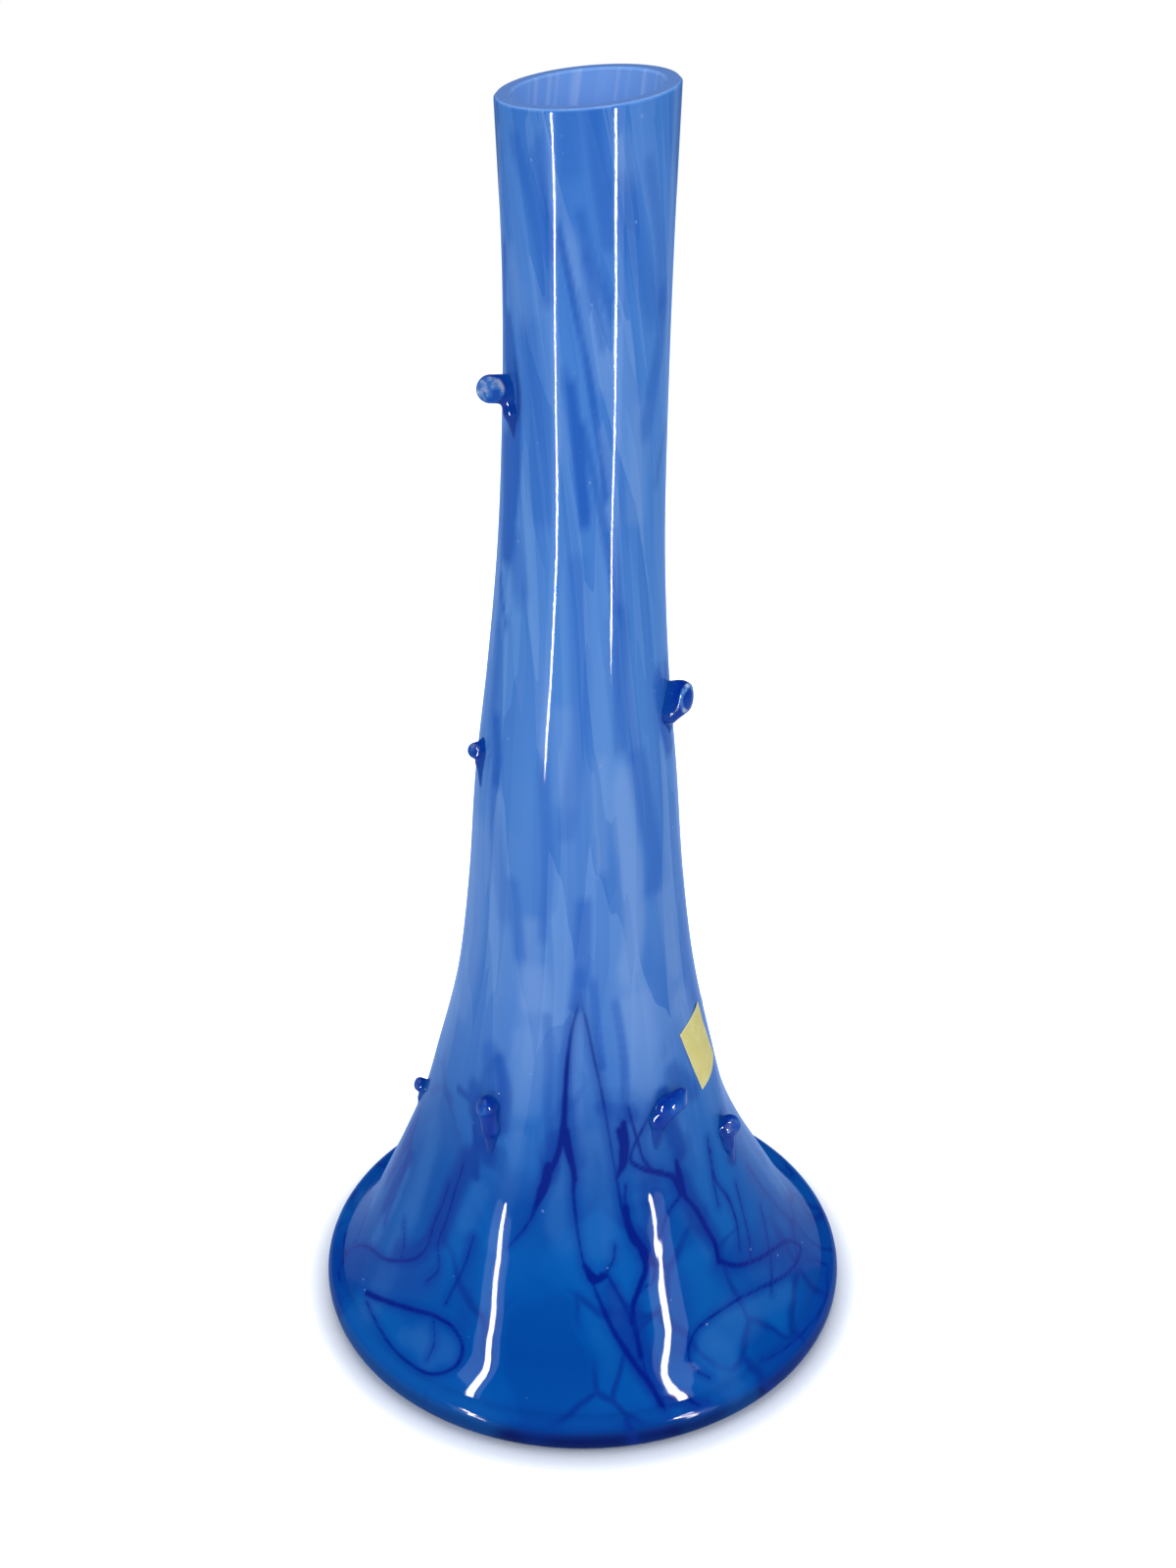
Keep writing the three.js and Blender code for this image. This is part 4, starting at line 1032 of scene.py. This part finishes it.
def mottled_glass():
    # Cased soda-lime glass: an opal blue bubble rolled in lumps of blue frit, drawn out by hand and
    # fire-polished. The lumps stay whole on the foot, with cobalt glass closing the gaps between them as
    # veins, and the drawing turns them to milky streaks up the neck. The surface is liquid smooth.
    material, node = blank_material("mottled_glass")
    place = node("TexCoord").outputs["Object"]
    height = node("SeparateXYZ", (place,)).outputs["Z"]
    share = node("Math", (height, VASE_HEIGHT * MM), operation="DIVIDE")
    flow = node("Attribute", attribute_name="flow").outputs["Vector"]
    milk_and_sheen, shade, vein, outer = (
        node("Attribute", attribute_name=name).outputs["Fac"] for name in ("milk_and_sheen", "shade", "vein", "outer")
    )
    foot_share = node("MapRange", (height, FOOT_COLOUR_END * MM, FOOT_COLOUR_FULL * MM), **SMOOTHLY)
    trunk_share = node("Math", (1.0, foot_share), operation="SUBTRACT")

    # The colour runs from cobalt in the brim to a greyer, milkier blue on the trunk, and clears again
    # towards the mouth. Besides the glass's own colour it holds painted light: the foot's edge is painted
    # near black on its lower half and underside as painted shade, and the thin neck is painted paler for
    # light that shines through its wall.
    colour = node("ValToRGB", (share,), stops=[
        (0.0, "#010c48"), (0.018, "#01145c"), (0.0255, "#0a489f"), (0.034, "#0450a6"), (0.06, "#024a9f"),
        (0.11, "#0453a8"), (0.17, "#0f5aae"), (0.23, "#2866b7"), (0.3, "#4176c4"), (0.4, "#4e83cc"),
        (0.52, "#5389d1"), (0.66, "#518ad3"), (0.8, "#4f88d3"), (0.92, "#4a84d2"), (1.0, "#4580cf"),
    ])

    # Lumps drawn out to long tongues that lie side by side, each its own tone and most so towards its
    # edge, then finer threads inside them
    drift = node("TexNoise", (flow, NECK_RADIUS / DRIFT_SIZE)).outputs["Color"]
    drifted = node("VectorMath", (drift, DRIFT_REACH, flow), operation="MULTIPLY_ADD")
    for scales, tones in (
        (drawn_out(TONGUE_WIDTH, TONGUE_LENGTH), ((0.95, 0.36, "#7ba1da"), (0.05, 0.3, "#2058b5"))),
        (drawn_out(THREAD_WIDTH, THREAD_LENGTH), ((0.95, 0.2, "#86a9dd"), (0.05, 0.18, "#2058b5"))),
    ):
        stretched = node("VectorMath", (drifted, scales), operation="MULTIPLY")
        streaks = node("TexVoronoi", (stretched, 1.0))
        tone = node("SeparateColor", (streaks.outputs["Color"],)).outputs["Red"]
        to_edge = node("MapRange", (streaks, 0.1, 0.75, 0.35, 1.0), **SMOOTHLY)
        to_edge = node("Math", (to_edge, trunk_share), operation="MULTIPLY")
        for full_tone, strength, tint in tones:
            layer = node("MapRange", (tone, 0.5, full_tone, 0.0, strength), **SMOOTHLY)
            layer = node("Math", (layer, to_edge), operation="MULTIPLY")
            colour = node("Mix", (layer, colour, tint), **AS_COLOUR)

    # The lumps on the foot: cells a few centimetres across, each its own tone, with thin joints of cobalt
    # glass round some of them
    bend = node("TexNoise", (place, every(BEND_SIZE))).outputs["Color"]
    bent = node("VectorMath", (bend, (BEND_REACH * MM,) * 3, place), operation="MULTIPLY_ADD")
    squeezed = node("VectorMath", (bent, LUMP_SQUEEZE), operation="MULTIPLY")
    lumps = node(
        "TexVoronoi", {"Vector": squeezed, "Scale": every(LUMP_SIZE), "Smoothness": 0.7}, feature="SMOOTH_F1",
    )
    tone = node("SeparateColor", (lumps.outputs["Color"],)).outputs["Red"]
    for first_tone, full_tone, tint in ((0.5, 0.85, "#1468b6"), (0.45, 0.15, "#022f88")):
        layer = node("MapRange", (tone, first_tone, full_tone, 0.0, 0.3), **SMOOTHLY)
        layer = node("Math", (layer, foot_share), operation="MULTIPLY")
        colour = node("Mix", (layer, colour, tint), **AS_COLOUR)
    to_joint = node("TexVoronoi", (squeezed, every(LUMP_SIZE)), feature="DISTANCE_TO_EDGE")
    joint = node("MapRange", (to_joint, 0.075, 0.0, 0.0, 0.7), **SMOOTHLY)
    patches = node("TexNoise", (place, every(JOINT_PATCH_SIZE)))
    in_patches = node("MapRange", (patches, 0.44, 0.6), **SMOOTHLY)
    for limit in (in_patches, foot_share):
        joint = node("Math", (joint, limit), operation="MULTIPLY")
    colour = node("Mix", (joint, colour, "#082a86"), **AS_COLOUR)

    # Strokes that were drawn on the wall: milk with the painted reflections at the sides, then darker shade,
    # each in the foot's and the trunk's blue
    milk_and_sheen_share = node("MapRange", (foot_share, 0.0, 1.0, 0.85, 0.5), **SMOOTHLY)
    milk_and_sheen_share = node("Math", (milk_and_sheen, milk_and_sheen_share), operation="MULTIPLY")
    shade_share = node("MapRange", (shade, 0.0, 0.769, 0.0, 0.8))
    for layer, trunk_blue, foot_blue in (
        (milk_and_sheen_share, "#7ba1da", "#3a76bf"), (shade_share, "#1b57b6", "#0a3693"),
    ):
        tint = node("Mix", (foot_share, trunk_blue, foot_blue), **AS_COLOUR)
        colour = node("Mix", (layer, colour, tint), **AS_COLOUR)

    # The cobalt veins, with frayed edges and a soft bleed round them, fainter where they were drawn thin
    fray = node("TexNoise", (place, every(FRAY_SIZE), 3.0))
    frayed = node("Math", (fray, 0.5, vein), operation="MULTIPLY_ADD")
    faint_from, faint_to = VEIN_COLOUR_FULL * MM, VEIN_COLOUR_FAINT * MM
    faintness = node("MapRange", (height, faint_from, faint_to, 1.0, 0.45), **SMOOTHLY)
    for edge, middle, strength, tint in ((-2.35, 0.65, 0.45, "#083898"), (0.0, 1.05, 0.97, "#041c80")):
        layer = node("MapRange", (frayed, edge, middle, 0.0, strength), **SMOOTHLY)
        layer = node("Math", (layer, faintness), operation="MULTIPLY")
        colour = node("Mix", (layer, colour, tint), **AS_COLOUR)

    # Seed bubbles and specks of undissolved frit. The real ones are a few tenths of a millimetre across,
    # and are drawn up to twice as wide so that they show.
    seeds = node("TexVoronoi", (place, every(SEED_SPACING)))
    speck = node("MapRange", (seeds, 0.16, 0.06, 0.0, 0.35), **SMOOTHLY)
    chosen = node("SeparateColor", (seeds.outputs["Color"],)).outputs["Green"]
    chosen = node("MapRange", (chosen, 0.95, 0.97), **SMOOTHLY)
    speck = node("Math", (speck, chosen), operation="MULTIPLY")
    colour = node("Mix", (speck, colour, "#8fb0e6"), **AS_COLOUR)

    # The inside and the cut rim show the milky casing without the frit, with pale streaks painted on as
    # reflections of the strip lights
    casing_and_sheen = node("ValToRGB", (share,), stops=[
        (0.0, "#2f62b4"), (0.6, "#4a80d0"), (0.9, "#6a9ee8"), (1.0, "#78a8ee"),
    ])
    # Painted reflection: pale streaks up the inside, where the strip lights would show
    stretched = node("VectorMath", (flow, drawn_out(INSIDE_SHEEN_WIDTH, INSIDE_SHEEN_LENGTH)), operation="MULTIPLY")
    streaks = node("TexNoise", (stretched, 1.0))
    streaks = node("MapRange", (streaks, 0.46, 0.66, 0.0, 0.6), **SMOOTHLY)
    casing_and_sheen = node("Mix", (streaks, casing_and_sheen, "#a0c3f4"), **AS_COLOUR)
    upward = node("SeparateXYZ", (node("NewGeometry").outputs["Normal"],)).outputs["Z"]
    cut_face = node("MapRange", (upward, 0.5, 0.9), **SMOOTHLY)
    at_mouth = node("MapRange", (share, 0.95, 0.98), **SMOOTHLY)
    cut_face = node("Math", (cut_face, at_mouth), operation="MULTIPLY")
    casing_and_sheen = node("Mix", (cut_face, casing_and_sheen, "#6288cb"), **AS_COLOUR)
    outer = node("MapRange", (outer, 0.2, 0.8), **SMOOTHLY)
    colour = node("Mix", (outer, casing_and_sheen, colour), **AS_COLOUR)

    # Cooling leaves the wall faintly rippled, with the veins a hair below the lumps
    stretched = node("VectorMath", (flow, drawn_out(RIPPLE_WIDTH, RIPPLE_LENGTH)), operation="MULTIPLY")
    ripple = node("TexNoise", (stretched, 1.0, 1.0))
    sink = node("MapRange", (vein, -1.6, 0.6, 0.0, -0.1), **SMOOTHLY)
    relief = node("Math", (ripple, sink), operation="ADD")
    bump = node("Bump", {"Strength": 0.3, "Distance": RIPPLE_DEPTH * MM, "Height": relief})
    film = node("TexNoise", (place, every(FILM_SIZE), 4.0, 0.6))
    roughness = node("MapRange", (film, 0.35, 0.7, 0.025, 0.06), **SMOOTHLY)
    glass = node("BsdfPrincipled", {
        "Base Color": colour, "Roughness": roughness, "IOR": 1.5, "Specular IOR Level": 0.12, "Normal": bump,
    })
    node("OutputMaterial", (glass,))
    return material


def cobalt_glass():
    # Clear soda-lime glass coloured with cobalt, pinched out of the hot wall with jacks and sheared off:
    # deep blue where it is thick, a brighter blue where light comes through its thin rim, and on the flat
    # face that the shears cut a painted reflection, pale blue to near white, broken up by the shear marks
    material, node = blank_material("cobalt_glass")
    place = node("TexCoord").outputs["Object"]
    head, shear_glint = (node("Attribute", attribute_name=name).outputs["Fac"] for name in ("head", "shear_glint"))
    colour = node("ValToRGB", (head,), stops=[
        (0.0, "#1258b6"), (0.2, "#0e4cae"), (0.5, "#0838a8"), (0.8, "#1450bc"), (1.0, "#2a74d2"),
    ])
    cord_scales = (every(CORD_WIDTH), every(CORD_WIDTH), every(CORD_LENGTH))
    stretched = node("VectorMath", (place, cord_scales), operation="MULTIPLY")
    cords = node("TexNoise", (stretched, 1.0, 3.0, 0.6))
    cords = node("MapRange", (cords, 0.4, 0.7, 0.0, 0.5), **SMOOTHLY)
    colour = node("Mix", (cords, colour, "#06289a"), **AS_COLOUR)
    seeds = node("TexVoronoi", (place, every(KNOB_SEED_SPACING)))
    seeds = node("MapRange", (seeds, 0.14, 0.05, 0.0, 0.4), **SMOOTHLY)
    colour = node("Mix", (seeds, colour, "#7ea6e6"), **AS_COLOUR)
    # The sheared face is painted pale blue to near white: a painted reflection, broken up by the shear marks
    shear_marks = node("TexNoise", (place, every(SHEAR_MARK_SIZE), 3.0, 0.6))
    glint_blue = node("ValToRGB", (shear_marks,), stops=[
        (0.36, "#2c6ccc"), (0.5, "#5b9fe6"), (0.62, "#dfecfb"),
    ])
    colour = node("Mix", (shear_glint, colour, glint_blue), **AS_COLOUR)
    ripple = node("TexNoise", (place, every(KNOB_RIPPLE_SIZE)))
    bump = node("Bump", {"Strength": 0.15, "Distance": KNOB_RIPPLE_DEPTH * MM, "Height": ripple})
    film = node("TexNoise", (place, every(KNOB_FILM_SIZE), 3.0))
    roughness = node("MapRange", (film, 0.35, 0.7, 0.015, 0.05), **SMOOTHLY)
    glass = node("BsdfPrincipled", {
        "Base Color": colour, "Roughness": roughness, "IOR": 1.5, "Specular IOR Level": 0.3,
        "Transmission Weight": 0.3, "Normal": bump,
    })
    node("OutputMaterial", (glass,))
    return material


def label_paper():
    # Uncoated wood-free paper, machine made and dyed yellow: matt, with pressed fibres a millimetre long
    # that lie across it, and paler where handling has scuffed its cut edges
    material, node = blank_material("label_paper")
    place = node("TexCoord").outputs["Object"]
    cloud = node("TexNoise", (place, every(PAPER_CLOUD_SIZE), 4.0, 0.6))
    cloud = node("MapRange", (cloud, 0.35, 0.7), **SMOOTHLY)
    colour = node("Mix", (cloud, "#d6cc78", "#ddd48a"), **AS_COLOUR)
    fibre_scales = (every(FIBRE_LENGTH), every(FIBRE_LENGTH), every(FIBRE_WIDTH))
    stretched = node("VectorMath", (place, fibre_scales), operation="MULTIPLY")
    fibres = node("TexNoise", (stretched, 1.0, 3.0, 0.7))
    pale_fibres = node("MapRange", (fibres, 0.5, 0.75, 0.0, 0.5), **SMOOTHLY)
    colour = node("Mix", (pale_fibres, colour, "#f0e9b4"), **AS_COLOUR)
    to_edge = node("Attribute", attribute_name="edge").outputs["Fac"]
    worn = node("MapRange", (to_edge, 0.93, 1.0, 0.0, 0.6), **SMOOTHLY)
    colour = node("Mix", (worn, colour, "#efe9bd"), **AS_COLOUR)
    bump = node("Bump", {"Strength": 0.35, "Distance": FIBRE_DEPTH * MM, "Height": fibres})
    roughness = node("MapRange", (fibres, 0.3, 0.7, 0.62, 0.8), **SMOOTHLY)
    paper = node("BsdfPrincipled", {
        "Base Color": colour, "Roughness": roughness, "IOR": 1.45, "Normal": bump,
    })
    node("OutputMaterial", (paper,))
    return material


glass = mottled_glass()
cobalt = cobalt_glass()
blown_body(glass)
melting = melting_tree(cobalt)
for knob_name, knob in KNOBS.items():
    pulled_knob(knob_name, knob, melting)
paper_label(label_paper())


# The studio: a white sweep that the vase stands on, two tall strip lights and soft light all round

SWEEP_RADIUS = 1.6
SWEEP_RINGS, SWEEP_SIDES = 26, 72
SWEEP_CROWDING = 1.6
CARD_GRAIN_SIZE, CARD_GRAIN_DEPTH = 1.111, 0.1

# How far from the vase's middle, in metres, the glass tints the card, the card grows dim and its glow sets
# in, and how strong the tint and the glow are in the card's mirror image
TINT_FADE = (0.074, 0.09)
DIMMING = (0.2, 1.2)
GLOW_STOPS = [(0.074, 0.0), (0.0785, 0.15), (0.084, 0.5), (0.094, 1.0)]
MIRRORED_TINT, MIRRORED_GLOW = 0.88, 0.1


def stage_piece(name, points, faces, material):
    piece = bpy.data.objects.new(name, new_mesh(name, points, faces, material))
    bpy.context.scene.collection.objects.link(piece)
    return piece


def white_card():
    # Matt white card, pressed from pulp: no mirror image shows in it, and its grain is a millimetre across
    material, node = blank_material("white_sweep")
    place = node("TexCoord").outputs["Object"]
    grain = node("TexNoise", (place, every(CARD_GRAIN_SIZE), 3.0, 0.6))
    pale_grain = node("MapRange", (grain, 0.3, 0.7), **SMOOTHLY)
    colour = node("Mix", (pale_grain, "#eef1f6", "#f2f4f8"), **AS_COLOUR)
    path = node("LightPath").outputs
    mirrored = node("Math", (path["Is Glossy Ray"], path["Is Transmission Ray"]), operation="MAXIMUM")
    away = node("VectorMath", (place,), operation="LENGTH")
    # Light that comes through the blue glass tints the card close round it. The far end of the sweep lies
    # in the dim part of the room, so that its mirror image fades out. In the glass all of the card shows
    # dimmer and bluer than it is.
    tinted = node("MapRange", (away, *TINT_FADE, 0.35, 0.0), **SMOOTHLY)
    dimmed = node("MapRange", (away, *DIMMING), **SMOOTHLY)
    in_glass = node("Math", (mirrored, MIRRORED_TINT), operation="MULTIPLY")
    for layer, tint in ((tinted, "#a9c4ee"), (dimmed, "#6f86b2"), (in_glass, "#6a9eea")):
        colour = node("Mix", (layer, colour, tint), **AS_COLOUR)
    bump = node("Bump", {"Strength": 0.1, "Distance": CARD_GRAIN_DEPTH * MM, "Height": grain})
    card = node("BsdfPrincipled", {
        "Base Color": colour, "Roughness": 0.8, "Specular IOR Level": 0.1, "Normal": bump,
    })
    # The lamps light the card to just under white, and this glow brings it up to white. A mirrored view
    # needs less of it, since it isn't cut off at white. Close round the vase the shadow shows instead.
    seen = node("Math", (mirrored, MIRRORED_GLOW), operation="MULTIPLY")
    seen = node("Math", (seen, path["Is Camera Ray"]), operation="MAXIMUM")
    whitening = node("ValToRGB", (away,), stops=GLOW_STOPS)
    glow = node("Math", (seen, whitening), operation="MULTIPLY")
    glow = node("Emission", ("#ffffff", glow))
    node("OutputMaterial", (node("AddShader", (card, glow)),))
    return material


def white_floor():
    reach = SWEEP_RADIUS / MM * np.linspace(0, 1, SWEEP_RINGS + 1)[1:] ** SWEEP_CROWDING
    turns = np.linspace(0, 2 * np.pi, SWEEP_SIDES, endpoint=False)
    level = np.zeros(SWEEP_SIDES)
    circles = [np.stack([radius * np.sin(turns), -radius * np.cos(turns), level], -1) for radius in reach]
    faces = [(0, 1 + side, 1 + (side + 1) % SWEEP_SIDES) for side in range(SWEEP_SIDES)]
    for near in range(1, 1 + (SWEEP_RINGS - 1) * SWEEP_SIDES, SWEEP_SIDES):
        far = near + SWEEP_SIDES
        for side in range(SWEEP_SIDES):
            beside = (side + 1) % SWEEP_SIDES
            faces.append((near + side, far + side, far + beside, near + beside))
    stage_piece("floor", np.concatenate([[(0, 0, 0)], *circles]), faces, white_card())


def white_world():
    world = bpy.data.worlds.new("studio")
    bpy.context.scene.world = world
    world.use_nodes = True
    world.node_tree.nodes.clear()
    node = partial(add, world.node_tree)
    path = node("LightPath").outputs
    mirrored = node("Math", (path["Is Glossy Ray"], path["Is Transmission Ray"]), operation="MAXIMUM")
    # The ceiling is dark, so that the glass mirrors a pale room only near the horizon
    up = node("SeparateXYZ", (node("TexCoord").outputs["Generated"],)).outputs["Z"]
    to_ceiling = node("MapRange", (up, 0.0, 0.3, 0.3, 0.0), **SMOOTHLY)
    room = node("Background", ("#a4c4f8", to_ceiling))
    soft_light = node("Background", ("#ffffff", 0.5))
    background = node("Background", ("#ffffff", 1.0))
    lit = node("MixShader", (mirrored, soft_light, room))
    seen = node("MixShader", (path["Is Camera Ray"], lit, background))
    node("OutputWorld", (seen,))


def strip_light(name, course, widths, strength, colour):
    """A long narrow light box that rises from the floor and bows over at its top. Only glass sees it."""
    material, node = blank_material(name)
    node("OutputMaterial", (node("Emission", (colour, strength)),))
    course = np.array(course, float)
    for _ in range(CORNER_CUTS):
        # Corners are cut until the course is smooth
        near, far = blend(course[:-1], course[1:], 0.25), blend(course[:-1], course[1:], 0.75)
        course = np.concatenate([course[:1], np.stack([near, far], 1).reshape(-1, 3), course[-1:]])
    across = np.cross(np.gradient(course, axis=0), course - np.array(STRIP_TARGET))
    across /= np.linalg.norm(across, axis=1, keepdims=True)
    shares, width_shares = np.linspace(0, 1, len(course)), np.linspace(0, 1, len(widths))
    half_widths = np.interp(shares, width_shares, widths)[:, None] / 2
    sides = np.stack([course - across * half_widths, course + across * half_widths], 1)
    faces = [(2 * i, 2 * i + 1, 2 * i + 3, 2 * i + 2) for i in range(len(course) - 1)]
    strip = stage_piece(name, sides.reshape(-1, 3) / MM, faces, material)
    strip.visible_camera = False
    strip.visible_diffuse = False
    strip.visible_shadow = False


def area_light(name, place, target_height, side, watts):
    lamp = bpy.data.lights.new(name, "AREA")
    lamp.shape = "RECTANGLE"
    lamp.size = lamp.size_y = side
    lamp.energy = watts
    holder = bpy.data.objects.new(name, lamp)
    bpy.context.scene.collection.objects.link(holder)
    holder.location = place
    aim = Vector((0, 0, target_height)) - Vector(place)
    holder.rotation_euler = aim.to_track_quat("-Z", "Y").to_euler()
    holder.visible_glossy = False
    holder.visible_camera = False


# Places and widths in the studio are in metres. The strips turn their faces to this place in the vase.
STRIP_TARGET = (0, 0, 0.12)
LEFT_STRIP = [
    (-0.34, -0.492, 0.022), (-0.352, -0.482, 0.045), (-0.378, -0.46, 0.082), (-0.388, -0.447, 0.11),
    (-0.38, -0.44, 0.15), (-0.37, -0.433, 0.19), (-0.365, -0.424, 0.216), (-0.37, -0.406, 0.242),
    (-0.379, -0.374, 0.276), (-0.38, -0.35, 0.3),
]
RIGHT_STRIP = [
    (0.365, -0.476, 0.022), (0.375, -0.466, 0.034), (0.393, -0.447, 0.08), (0.393, -0.439, 0.114),
    (0.38, -0.445, 0.134), (0.36, -0.443, 0.17), (0.34, -0.445, 0.2), (0.318, -0.448, 0.243),
    (0.316, -0.426, 0.281), (0.331, -0.397, 0.304), (0.35, -0.36, 0.325),
]
STRIP_WIDTHS = (0.014, 0.024, 0.026, 0.028, 0.03)
STRIP_STRENGTH, STRIP_COLOUR = 125.0, "#fffdfa"
CORNER_CUTS = 3

# Behind each strip, this many times as far from the vase's axis, hangs a wide dim glow, which lies as a
# soft band round its highlight
GLOW_SETBACK = 1.1
GLOW_STRENGTH, GLOW_COLOUR = 6.0, "#c4dcff"

white_floor()
white_world()
for side_name, course, glow_aside, glow_width in (
    ("left", LEFT_STRIP, -0.02, 0.14), ("right", RIGHT_STRIP, 0.04, 0.16),
):
    behind = [(x * GLOW_SETBACK + glow_aside, y * GLOW_SETBACK, z) for x, y, z in course]
    strip_light(f"strip_{side_name}", course, STRIP_WIDTHS, STRIP_STRENGTH, STRIP_COLOUR)
    strip_light(f"glow_{side_name}", behind, (glow_width, glow_width), GLOW_STRENGTH, GLOW_COLOUR)
for lamp_name, place, target_height, side, watts in (
    ("soft_left", (-0.9, -0.7, 0.9), 0.12, 0.8, 3.2),
    ("soft_right", (0.9, -0.6, 1.0), 0.12, 0.8, 3.2),
    ("soft_front", (0.0, -1.3, 0.8), 0.14, 0.8, 4.8),
    ("soft_back", (0.0, 1.3, 0.8), 0.14, 0.8, 3.0),
    ("soft_top", (0.0, 0.1, 1.4), 0.1, 1.0, 5.2),
):
    area_light(lamp_name, place, target_height, side, watts)

lens = bpy.data.cameras.new("camera")
lens.sensor_width = 36.0
lens.lens = 45.0
camera = bpy.data.objects.new("camera", lens)
camera.location = (0.0015, -0.4507, 0.3979)
camera.rotation_euler = (math.radians(62.27), 0, 0)
bpy.context.scene.collection.objects.link(camera)
bpy.context.scene.camera = camera

bpy.context.scene.view_settings.view_transform = "Standard"
